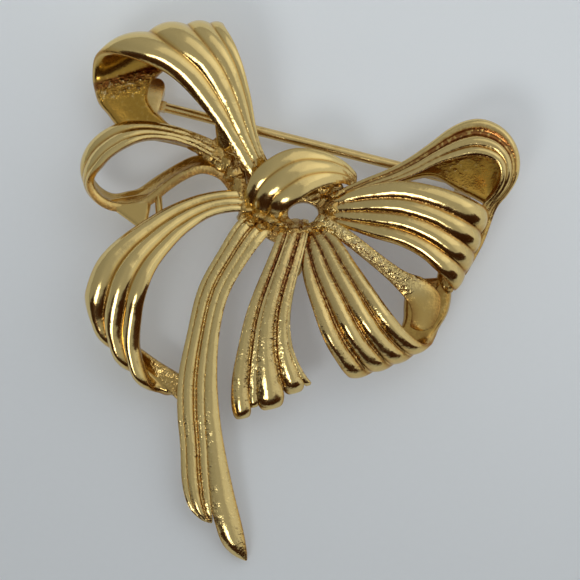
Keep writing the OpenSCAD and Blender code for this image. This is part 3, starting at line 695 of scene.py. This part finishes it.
def paper(colours):
    """Smooth matt paper, a little darker towards the viewer's left as painted shade, with a faint painted
    glow that lifts its shadows.
    """
    material, f = new_material("paper")
    places = f.places()
    fine = f.noise(places, PAPER_GRAIN_SIZE, 3)
    lit = f.along(places, PAPER_WAY).between(*PAPER_SPAN) * 0.94 + fine * 0.06
    tone = f.mix(lit, opaque([PAPER_SHADE * c for c in colours.floor]), opaque(colours.floor))
    values = {"Base Color": tone, "Roughness": 0.75, "Specular IOR Level": 0.2}
    # Painted light: the paper glows faintly in its own tone, which lifts the shadows on it
    values.update({"Emission Color": tone, "Emission Strength": 0.17})
    f.close(f.add("BsdfPrincipled", {}, values))
    return material


# ---- ribbons


class Ribbon(namedtuple("Ribbon", "name knot rows reach width base rise ribs crown")):
    """A ribbon's table with its sizes in metres, and its ribs' height as a share of their width."""

    def row(self, i):
        """The row at a whole number, held at the ends."""
        return self.rows[min(max(i, 0), len(self.rows) - 1)]

    def eased(self, at):
        """The row at any number, on a smooth curve through the table's rows and straight on past the last."""
        last = len(self.rows) - 1
        if at > last:
            ends = enumerate(zip(*self.rows[last - 1 :]))
            return [y + (y - x) * (at - last) if k <= LIFT else y for k, (x, y) in ends]
        i = min(int(at), last)
        t = at - i
        around = zip(self.row(i - 1), self.row(i), self.row(i + 1), self.row(i + 2))
        return [
            b
            + (c - a) * t / 2
            + (2 * a - 5 * b + 4 * c - d) * t * t / 2
            + (3 * b - a - 3 * c + d) * t * t * t / 2
            for a, b, c, d in around
        ]

    def told(self, table, at):
        """What a table of row numbers and shares says of the ribbon at a row number."""
        for (low, x), (high, y) in zip(table[self.name], table[self.name][1:]):
            if at < high:
                return x + (y - x) * (at - low) / (high - low)
        return table[self.name][-1][1]

    def middle(self, row):
        """The middle of a row's section, on the inner face."""
        lift = self.base + row[LIFT] * self.rise
        return self.knot + Vector((row[RIGHT] * self.reach, row[UP] * self.reach, lift))

    def frame_at(self, at):
        """The section's row, middle, direction across it and direction outwards."""
        row = self.eased(at)
        last = max(at, len(self.rows) - 1)
        before, after = max(at - SLOPE_STEP, 0), min(at + SLOPE_STEP, last)
        along = self.middle(self.eased(after)) - self.middle(self.eased(before))
        u = across(row)
        return row, self.middle(row), u, u.cross(along).normalized()

    def spot(self, at, share, height):
        """A place on the inner face: row number, share of the way across, and height above it."""
        row, middle, u, v = self.frame_at(at)
        return middle + (share - 0.5) * row[WIDE] * self.width * u + height * v


def across(row):
    """The direction across a row's section."""
    lean, turn = math.radians(row[LEAN]), math.radians(row[TURN])
    return Vector((math.cos(lean) * math.cos(turn), math.cos(lean) * math.sin(turn), math.sin(lean)))


def relief(ribs):
    """Places across the ribs from 0 to 1, each with its height and its rib's width as shares."""
    places = []
    start = 0.0
    for share in ribs:
        wide = abs(share)
        for k in range(RIB_STEPS):
            t = -math.cos(math.pi * k / RIB_STEPS)
            places.append((start + wide * (1 + t) / 2, math.copysign(1 - t * t, share), wide))
        start += wide
    return places + [(start, 0.0, abs(ribs[-1]))]


def section(ribbon, at, sizes, bumps, span=(0.0, 1.0), shrink=1.0):
    """A section's points, each with its marks.

    The span is the part of the width that the points cover, and shrink draws them in to its middle.
    """
    row, middle, u, v = ribbon.frame_at(at)
    half = math.radians(row[CURL]) / 2
    width = row[WIDE] * ribbon.width
    r = width / 2 / math.sin(half)
    hollow = r * math.cos(half)
    rough, tarnish_and_shade, high = ribbon.told(ROUGH, at), ribbon.told(TARNISH_AND_SHADE, at), min(row[RIBS], 1)
    points = []
    for place, height, share in bumps:
        a = (2 * place - 1) * half
        rise = min(sizes.rib_height, ribbon.crown * share * width)
        depth = min(sizes.wall * GROOVE_WALL, GROOVE_DEPTH * share * width)
        out = r + sizes.wall + height * high * (rise if height > 0 else depth)
        crest = height * high if height >= 0 else -GROOVE_SHINE * height
        polish = CREST_WEAR * crest if height > 0 and len(ribbon.ribs) > 1 else 0.0
        # Tarnish and painted shade lie whole in a groove and partly on a rib's sides, never on its crest
        stained_and_shaded = tarnish_and_shade * (1 if height < 0 else SIDE_TARNISH_AND_SHADE * (1 - crest))
        marks = (crest, 0.0, rough * (1 - polish), stained_and_shaded)
        points.append((out * math.sin(a), out * math.cos(a) - hollow, marks))
    inner = (0.0, DEEP.get(ribbon.name, 1.0), rough, tarnish_and_shade)
    for k in range(INNER_STEPS, -1, -1):
        a = (2 * (span[0] + (span[1] - span[0]) * k / INNER_STEPS) - 1) * half
        points.append((r * math.sin(a), r * math.cos(a) - hollow, inner))
    if shrink < 1:
        a = (span[0] + span[1] - 1) * half
        deep = r + sizes.wall * TIP_DEPTH
        hub = deep * math.sin(a), deep * math.cos(a) - hollow
        drawn = math.sqrt(shrink), shrink
        points = [(*(h + (c - h) * s for h, c, s in zip(hub, point, drawn)), point[2]) for point in points]
    return [(middle + x * u + y * v, *marks) for x, y, marks in points]


# What every point of the casting carries: on a crest, on an inner face (which takes painted shade), rough
# from the mould, and tarnished with painted shade
MARKS = ("crest", "inside", "rough", "tarnish_and_shade")


def once(items):
    """The items in their order, each of them once."""
    return list(dict.fromkeys(items))


def grow(bm, ring, rings):
    """Sets a ring of points to the first of the rings and draws it out through the others."""
    layers = [bm.verts.layers.float[name] for name in MARKS]

    def settle(verts, points):
        """Moves the ring's points to their places and gives them their marks."""
        for v, (co, *values) in zip(verts, points):
            v.co = co
            for layer, value in zip(layers, values):
                v[layer] = value

    settle(ring, rings[0])
    for points in rings[1:]:
        edges = once(e for v in ring for e in v.link_edges if all(w in ring for w in e.verts))
        made = bmesh.ops.extrude_edge_only(bm, edges=edges)["geom"]
        fresh = {v for v in made if isinstance(v, bmesh.types.BMVert)}
        ring = [next(w for w in (e.other_vert(v) for e in v.link_edges) if w in fresh) for v in ring]
        settle(ring, points)


def new_shape():
    """An empty shape whose points can carry the marks."""
    bm = bmesh.new()
    for name in MARKS:
        bm.verts.layers.float.new(name)
    return bm


def add_sweep(bm, rings):
    """A closed skin through rings of points with their marks."""
    before = set(bm.verts)
    ring = bmesh.ops.create_circle(bm, segments=len(rings[0]), radius=1.0)["verts"]
    grow(bm, ring, rings)
    fresh = [v for v in bm.verts if v not in before]
    edges = once(e for v in fresh for e in v.link_edges if e.is_boundary)
    bmesh.ops.holes_fill(bm, edges=edges, sides=0)


def finished(bm, name, material, smooth_levels):
    """Turns a shape into a piece of the brooch."""
    bmesh.ops.remove_doubles(bm, verts=bm.verts, dist=SAME_POINT)
    bmesh.ops.recalc_face_normals(bm, faces=bm.faces)
    for face in bm.faces:
        face.smooth = True
    mesh = bpy.data.meshes.new(name)
    bm.to_mesh(mesh)
    bm.free()
    if not mesh.polygons:
        raise RuntimeError(f"{name} has no faces")
    mesh.materials.append(material)
    piece = bpy.data.objects.new(name, mesh)
    bpy.context.scene.collection.objects.link(piece)
    if smooth_levels:
        surface = piece.modifiers.new("Smooth", "SUBSURF")
        surface.levels = surface.render_levels = smooth_levels
    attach(piece, "brooch")
    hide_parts("bow")
    return piece


def knot_place(sizes):
    """The middle of the knot, on the table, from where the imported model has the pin's hinge."""
    joint = next(j for j in frame["joints"] if j["name"] == "pin_hinge")
    hinge = Vector(joint["pos_m"][:2])
    return (hinge - HINGE_PLACE * sizes.top_reach).to_3d()


def ribbons(sizes):
    """Every ribbon by its name."""
    knot = knot_place(sizes)
    back = sizes.back_height
    s = sizes
    made = {
        "upper_left_loop": (TOP_LOOP, s.top_reach, s.top_width, back, s.top_rise, TOP_RIBS, 0.16),
        "small_left_loop": (SMALL_LOOP, s.small_reach, s.small_width, back, s.small_rise, SMALL_RIBS, 0.22),
        "large_left_loop": (LEFT_LOOP, s.left_reach, s.left_width, back, s.left_rise, LEFT_RIBS, 0.26),
        "long_tail": (LONG_TAIL, s.long_reach, s.long_width, 0, back + s.long_rise, LONG_RIBS, 0.30),
        "short_tail": (SHORT_TAIL, s.short_reach, s.short_width, back, s.short_rise, SHORT_RIBS, 0.30),
        "lower_right_loop": (LOWER_LOOP, s.lower_reach, s.lower_width, back, s.lower_rise, LOWER_RIBS, 0.33),
        "right_fan": (FAN, s.fan_reach, s.fan_width, back, s.fan_rise, FAN_RIBS, 0.25),
        "upper_right_loop": (SIDE_LOOP, s.side_reach, s.side_width, back, s.side_rise, SIDE_RIBS, 0.34),
        "pocket": (POCKET, s.side_reach, s.pocket_width, back, s.side_rise, PLAIN, 0),
        "knot_band": (KNOT, s.knot_reach, s.knot_width, back, s.knot_rise, KNOT_RIBS, 0.10),
        "back_bar": (BACK_BAR, s.lower_reach, s.bar_width, back, s.bar_thickness, PLAIN, 0.07),
    }
    return {name: Ribbon(name, knot, *values) for name, values in made.items()}


def build_ribbon(name):
    """A ribbon as one closed piece."""
    sizes = bpy.context.scene.brooch_sizes
    ribbon = ribbons(sizes)[name]
    bumps = relief(ribbon.ribs)
    count = (len(ribbon.rows) - 1) * SECTION_STEPS
    bm = new_shape()
    add_sweep(bm, [section(ribbon, k / SECTION_STEPS, sizes, bumps) for k in range(count + 1)])
    finished(bm, name, gold(), 1)


def gold():
    """The casting's material, made once."""
    found = bpy.data.materials.get("cast_gold")
    return found or cast_gold(bpy.context.scene.brooch_colours)


def fittings_gold():
    """The material of the pin and its fittings, made once."""
    found = bpy.data.materials.get("wire_gold")
    return found or wire_gold(bpy.context.scene.brooch_colours)


def ball(at, r, crest):
    """Adds a ball to a shape, its place and radius in metres."""
    place = Matrix.Translation(at)
    return lambda bm: bmesh.ops.create_icosphere(bm, subdivisions=3, radius=r, matrix=place), crest


def box(low, high):
    """Adds a box between two corners in millimetres."""
    low, high = Vector(low) * MM, Vector(high) * MM
    shape = Matrix.Translation((low + high) / 2) @ Matrix.Diagonal((*(high - low), 1))
    return lambda bm: bmesh.ops.create_cube(bm, size=1.0, matrix=shape), POLISHED


def disc(at, r, height, turn=None):
    """Adds a short cylinder, its sizes in millimetres and its axis up unless it is turned."""
    shape = Matrix.Translation(Vector(at) * MM) @ (turn or Matrix.Identity(4))
    sizes = {"segments": 48, "radius1": r * MM, "radius2": r * MM, "depth": height * MM}
    return lambda bm: bmesh.ops.create_cone(bm, cap_ends=True, matrix=shape, **sizes), POLISHED


def add_hull(bm, *shapes):
    """Adds the closed skin that lies tight round one or more shapes."""
    skin = new_shape()
    mark = skin.verts.layers.float["crest"]
    for add, crest in shapes:
        add(skin)
        for v in skin.verts:
            v[mark] = crest
    bmesh.ops.delete(skin, geom=skin.edges[:], context="EDGES_FACES")
    made = bmesh.ops.convex_hull(skin, input=skin.verts[:])
    left = made["geom_interior"] + made["geom_unused"]
    spare = once(v for v in left if isinstance(v, bmesh.types.BMVert))
    bmesh.ops.delete(skin, geom=spare, context="VERTS")
    mesh = bpy.data.meshes.new("skin")
    skin.to_mesh(mesh)
    skin.free()
    bm.from_mesh(mesh)
    bpy.data.meshes.remove(mesh)


def build_tail(name, fingers, tip_ribs):
    """A tail as a row of fingers, each of one or more ribs, which run on past the table and end round.

    The ribs' shares of the width change to tip_ribs along the tail.
    """
    sizes = bpy.context.scene.brooch_sizes
    ribbon = ribbons(sizes)[name]
    bm = new_shape()
    for first, after, tip, rounding in fingers:
        whole = tip - rounding
        count = round(whole * SECTION_STEPS)
        stops = [(whole * k / count, 1.0) for k in range(count + 1)]
        for k in range(1, TIP_SECTIONS + 1):
            a = math.pi / 2 * k / TIP_STEPS
            stops.append((whole + rounding * math.sin(a), math.cos(a)))
        rings = []
        for at, shrink in stops:
            t = min(at / (len(ribbon.rows) - 1), 1) ** 3
            ribs = [x + (y - x) * t for x, y in zip(ribbon.ribs, tip_ribs)]
            start, end = (sum(abs(x) for x in ribs[:n]) for n in (first, after))
            span = (start - FINGER_LAP * (first > 0), end + FINGER_LAP * (after < len(ribs)))
            scale = (span[1] - span[0]) / (end - start)
            places = relief(ribs[first:after])
            bumps = [(span[0] + x * scale, high, share) for x, high, share in places]
            rings.append(section(ribbon, at, sizes, bumps, span, shrink))
        add_sweep(bm, rings)
    finished(bm, name, gold(), 1)


# ---- operators


class BROOCH_OT_left_loops(bpy.types.Operator):
    """Builds the two ribbed loops on the left and the small loop between them"""

    bl_idname = "brooch.left_loops"
    bl_label = "Left loops"
    bl_options = {"REGISTER", "UNDO"}

    def execute(self, context):
        for name in ("upper_left_loop", "small_left_loop", "large_left_loop"):
            build_ribbon(name)
        return {"FINISHED"}


class BROOCH_OT_tails(bpy.types.Operator):
    """Builds the long and the short tail with their rounded rib ends"""

    bl_idname = "brooch.tails"
    bl_label = "Tails"
    bl_options = {"REGISTER", "UNDO"}

    def execute(self, context):
        build_tail("long_tail", LONG_FINGERS, LONG_TIP_RIBS)
        build_tail("short_tail", SHORT_FINGERS, SHORT_TIP_RIBS)
        return {"FINISHED"}


class BROOCH_OT_right_loops(bpy.types.Operator):
    """Builds the lower right loop, the fan, and the upper right loop with its pocket"""

    bl_idname = "brooch.right_loops"
    bl_label = "Right loops"
    bl_options = {"REGISTER", "UNDO"}

    def execute(self, context):
        for name in ("lower_right_loop", "right_fan", "upper_right_loop", "pocket", "back_bar"):
            build_ribbon(name)
        return {"FINISHED"}


class BROOCH_OT_knot(bpy.types.Operator):
    """Builds the knot band, the plate with the eye under it, and the small webs"""

    bl_idname = "brooch.knot"
    bl_label = "Knot"
    bl_options = {"REGISTER", "UNDO"}

    def execute(self, context):
        sizes = context.scene.brooch_sizes
        build_ribbon("knot_band")
        finished(knot_plate(sizes), "knot_plate", gold(), 1)
        finished(rough_lumps(sizes), "knot_casting", gold(), 0)
        bands = ribbons(sizes)
        for i, corners in enumerate(WEBS):
            bm = new_shape()
            above = WEB_THICKNESS * WEB_HEIGHT * MM
            places = [bands[name].spot(row, share, above) for name, row, share in corners]
            add_hull(bm, *[ball(at, WEB_THICKNESS / 2 * MM, WEB_CREST) for at in places])
            finished(bm, f"web_{i + 1}", gold(), 0)
        return {"FINISHED"}


def swelling(at, swells):
    """How far rough metal swells at a place, in metres."""
    return sum(noise.noise(at / (size * MM)) * height for size, height in swells) * MM


def rough_lumps(sizes):
    """Rough lumps that run into each other, where the ribbons meet."""
    bm = new_shape()
    middle = knot_place(sizes) + Vector((0, 0, sizes.back_height))
    for right, up, high, *half in LUMPS:
        at = middle + Vector((right, up, high)) * MM
        shape = Matrix.Translation(at) @ Matrix.Diagonal((*[x * MM for x in half], 1))
        bmesh.ops.create_icosphere(bm, subdivisions=4, radius=1.0, matrix=shape)
    layers = [bm.verts.layers.float[name] for name in MARKS]
    bm.normal_update()
    for v in bm.verts:
        v.co += v.normal * swelling(v.co, LUMP_SWELLS)
        for layer, value in zip(layers, LUMP_MARKS):
            v[layer] = value
    return bm


def plate_directions():
    """The directions from the eye to the points of the plate's rings."""
    turns = (2 * math.pi * k / PLATE_SIDES for k in range(PLATE_SIDES))
    return [Vector((math.cos(a), math.sin(a))) for a in turns]


def plate_edge(discs, start, direction):
    """How far a line from start runs before it leaves the tight outline round the discs."""
    reach = []
    for way in plate_directions():
        towards = direction.dot(way)
        if towards > 0.01:
            edge = max(at.dot(way) + r for at, r in discs)
            reach.append((edge - start.dot(way)) / towards)
    return min(reach)


def knot_plate(sizes):
    """The plate under the knot: rough on top, with the eye through it."""
    reach = sizes.knot_reach
    knot = knot_place(sizes)
    discs = [(Vector((right, up)) * reach, r * reach) for right, up, r in KNOT_PLATE]
    eye = Vector(EYE_PLACE) * reach
    low, high = sizes.back_height, sizes.back_height + sizes.plate_thickness
    hole = [Vector((d.x * sizes.eye_width / 2, d.y * sizes.eye_height / 2)) for d in plate_directions()]
    rim = [d * plate_edge(discs, eye, d) for d in plate_directions()]

    def ring(share, z, rough):
        """A ring at a share of the way from the eye to the rim."""
        points = []
        for inner, outer in zip(hole, rim):
            at = (eye + inner.lerp(outer, share)).to_3d() + knot
            at.z = z + rough * swelling(at, PLATE_SWELLS)
            marks = {**PLATE_MARKS, "rough": PLATE_MARKS["rough"] * rough}
            points.append((at, *(marks[name] for name in MARKS)))
        return points

    rings = [ring(0, low, 0), ring(0, (low + high) / 2, 0.3)]
    rings += [ring(k / PLATE_RINGS, high, 1) for k in range(PLATE_RINGS + 1)]
    rings += [ring(1, low, 0)]
    bm = new_shape()
    first = bmesh.ops.create_circle(bm, segments=PLATE_SIDES, radius=1.0)["verts"]
    grow(bm, first, rings)
    bmesh.ops.bridge_loops(bm, edges=[e for e in bm.edges if e.is_boundary])
    return bm


class BROOCH_OT_findings(bpy.types.Operator):
    """Builds the hinge's fork and the catch's hook, and finishes the pin and its rivet"""

    bl_idname = "brooch.findings"
    bl_label = "Pin and fittings"
    bl_options = {"REGISTER", "UNDO"}

    def execute(self, context):
        sizes = context.scene.brooch_sizes
        place, pin_length = pin_place(sizes)
        fitting(hinge_fork(sizes), "hinge_fork", place)
        fitting(catch_hook(sizes), "catch_hook", place @ Matrix.Translation((pin_length, 0, 0)))
        for name in ("rivet", "pin_stem"):
            node = frame["nodes"][name]
            node.data.materials.clear()
            node.data.materials.append(fittings_gold())
        return {"FINISHED"}


def pin_place(sizes):
    """The turn and shift that lay +X along the stem from the hinge, and how far the catch is from it."""
    hinge, catch = HINGE_PLACE * sizes.top_reach, CATCH_PLACE * sizes.side_reach
    along = catch - hinge
    turn = Matrix.Rotation(math.atan2(along.y, along.x), 4, "Z")
    return Matrix.Translation(knot_place(sizes) + hinge.to_3d()) @ turn, along.length


def fitting(bm, name, place):
    """Sets a fitting in its place and softens its edges."""
    bmesh.ops.transform(bm, matrix=place, verts=bm.verts)
    piece = finished(bm, name, fittings_gold(), 0)
    soft = piece.modifiers.new("Soft edges", "BEVEL")
    soft.width = SOFT_EDGE * MM
    soft.segments = 2
    soft.limit_method = "ANGLE"


def hinge_fork(sizes):
    """Two ears that hold the rivet, under a pad that joins them to the loop above."""
    eye, back = sizes.stem_d / MM, sizes.back_height / MM
    gap = eye + 2 * PLAY
    fork = gap + 2 * EAR_THICKNESS
    sideways = Matrix.Rotation(math.pi / 2, 4, "X")
    bm = new_shape()
    for side in (-1, 1):
        y = side * (gap + EAR_THICKNESS) / 2
        half = EAR_THICKNESS / 2
        add_hull(
            bm,
            disc((0, y, EAR_R), EAR_R, EAR_THICKNESS, sideways),
            box((-EAR_R, y - half, back), (EAR_R, y + half, back + PAD_THICKNESS / 2)),
        )
    turn = Matrix.Rotation(-pin_place(sizes)[0].to_euler().z, 4, "Z")
    foot = turn @ ((HINGE_FOOT - HINGE_PLACE) * sizes.top_reach / MM).to_3d()
    ends = (PAD_R - fork / 2 - PAD_TRIM, fork / 2 - PAD_TRIM + PAD_OVERHANG - PAD_R)
    add_hull(bm, *[disc((0, y, back), PAD_R, 2 * PAD_THICKNESS) for y in ends])
    z = back + FOOT_LIFT * PAD_THICKNESS
    arm = disc((0, 0, z), PAD_R - PAD_TRIM, PAD_THICKNESS)
    add_hull(bm, arm, disc((foot.x, foot.y, z), FOOT_R, PAD_THICKNESS))
    return bm


def catch_hook(sizes):
    """A plain hook, open towards the table, that the stem snaps into."""
    back, axis = sizes.back_height / MM, sizes.stem_height / MM
    slot = sizes.stem_d / MM + CATCH_SLACK
    bore = slot * CATCH_BORE
    lip = -math.asin(math.sqrt(bore * bore - slot * slot / 4) / bore)
    arc = [lip + (math.pi - 2 * lip) * k / ARC_STEPS for k in range(ARC_STEPS + 1)]
    half = CATCH_WIDTH / 2
    mouth = CATCH_MOUTH * CATCH_WIDTH
    outline = [(mouth, 0), (slot / 2, 0)]
    outline += [(bore * math.cos(a), axis + bore * math.sin(a)) for a in arc]
    outline += [(-slot / 2, 0), (-mouth, 0), (-half, axis / 2), (-half, back), (half, back), (half, axis / 2)]
    bm = new_shape()
    ring = bmesh.ops.create_circle(bm, segments=len(outline), radius=1.0)["verts"]
    ends = (-CATCH_LENGTH / 2, CATCH_LENGTH / 2)
    grow(bm, ring, [[(Vector((x, y, z)) * MM, POLISHED, 0.0) for y, z in outline] for x in ends])
    bmesh.ops.holes_fill(bm, edges=bm.edges[:], sides=0)
    thick = PAD_THICKNESS + PAD_TRIM
    add_hull(bm, disc((0, 0, back - CATCH_SINK + thick / 2), CATCH_WIDTH * CATCH_PAD, thick))
    return bm


class BROOCH_OT_stage(bpy.types.Operator):
    """Lays the paper, sets the soft lights and aims the camera as in the photo"""

    bl_idname = "brooch.stage"
    bl_label = "Photo stage"
    bl_options = {"REGISTER", "UNDO"}

    def execute(self, context):
        bm = bmesh.new()
        bmesh.ops.create_grid(bm, x_segments=1, y_segments=1, size=3.0)
        mesh = bpy.data.meshes.new("paper")
        bm.to_mesh(mesh)
        bm.free()
        mesh.materials.append(paper(context.scene.brooch_colours))
        floor = bpy.data.objects.new("paper", mesh)
        context.scene.collection.objects.link(floor)
        light_stage(context.scene)
        aim_camera(context.scene)
        return {"FINISHED"}


def facing(f, direction, low, high):
    """1 towards a direction of the room, 0 away from it, eased between two cosines."""
    way = f.add("TexCoord", out="Generated")
    return f.along(way, Vector(direction).normalized()).between(low, high)


def light_stage(scene):
    """A pale room, brighter to the upper right and with a dark side towards the viewer, and one soft box."""
    world = bpy.data.worlds.new("soft_room")
    world.use_nodes = True
    scene.world = world
    f = Finish(world.node_tree)
    sides = {name: facing(f, *values) for name, values in ROOM.items()}
    near = sides["near"]
    viewer = near.between(0.24, 0.38) * (1 - (sides["high"] + (1 - near) * 0.9).between(0.80, 1.05))
    glow = sum((sides[name] * share for name, share in SIDE_GLOW.items()), ROOM_GLOW)
    room = f.mix(viewer, opaque(PALE_ROOM), opaque(DARK_ROOM))
    f.close(f.add("Background", {}, {"Color": room, "Strength": glow}), "OutputWorld")
    lamp = bpy.data.lights.new("key_box", "AREA")
    lamp.shape = "SQUARE"
    lamp.size = KEY_SIZE
    lamp.energy = KEY_POWER
    lamp.color = KEY_COLOUR
    key = bpy.data.objects.new("key_box", lamp)
    key.location = KEY_PLACE
    key.rotation_euler = (-KEY_PLACE).to_track_quat("-Z", "Y").to_euler()
    key.visible_camera = False
    scene.collection.objects.link(key)
    scene.view_settings.view_transform = "Standard"
    scene.view_settings.look = "None"


def aim_camera(scene):
    """Sets the camera over the brooch, as in the photo."""
    data = bpy.data.cameras.new("photo_view")
    data.lens = LENS
    data.sensor_width = SENSOR
    data.clip_start = NEAREST
    camera = bpy.data.objects.new("photo_view", data)
    camera.location = VIEW_TARGET + VIEW_DISTANCE * VIEW_FROM
    camera.rotation_euler = (-VIEW_FROM).to_track_quat("-Z", "Y").to_euler()
    scene.collection.objects.link(camera)
    scene.camera = camera


class BROOCH_PT_panel(bpy.types.Panel):
    """The brooch's sizes, colours and building steps"""

    bl_idname = "BROOCH_PT_panel"
    bl_label = "Bow brooch"
    bl_space_type = "VIEW_3D"
    bl_region_type = "UI"
    bl_category = "Brooch"

    def draw(self, context):
        for group in (context.scene.brooch_sizes, context.scene.brooch_colours):
            area = self.layout.box()
            for name in group.bl_rna.properties.keys():
                if name not in ("rna_type", "name"):
                    area.prop(group, name)
        for step in STEPS:
            self.layout.operator(step.bl_idname)


STEPS = (
    BROOCH_OT_stage,
    BROOCH_OT_left_loops,
    BROOCH_OT_tails,
    BROOCH_OT_right_loops,
    BROOCH_OT_knot,
    BROOCH_OT_findings,
)
CLASSES = (BroochSizes, BroochColours, *STEPS, BROOCH_PT_panel)


def register():
    """Adds the brooch's classes and settings to Blender."""
    for cls in CLASSES:
        bpy.utils.register_class(cls)
    bpy.types.Scene.brooch_sizes = PointerProperty(type=BroochSizes)
    bpy.types.Scene.brooch_colours = PointerProperty(type=BroochColours)


def unregister():
    """Takes them away again."""
    del bpy.types.Scene.brooch_colours
    del bpy.types.Scene.brooch_sizes
    for cls in reversed(CLASSES):
        bpy.utils.unregister_class(cls)


def main():
    """Builds everything."""
    register()
    for step in STEPS:
        group, name = step.bl_idname.split(".")
        getattr(getattr(bpy.ops, group), name)()
    bpy.context.view_layer.update()


if __name__ == "__main__":
    main()
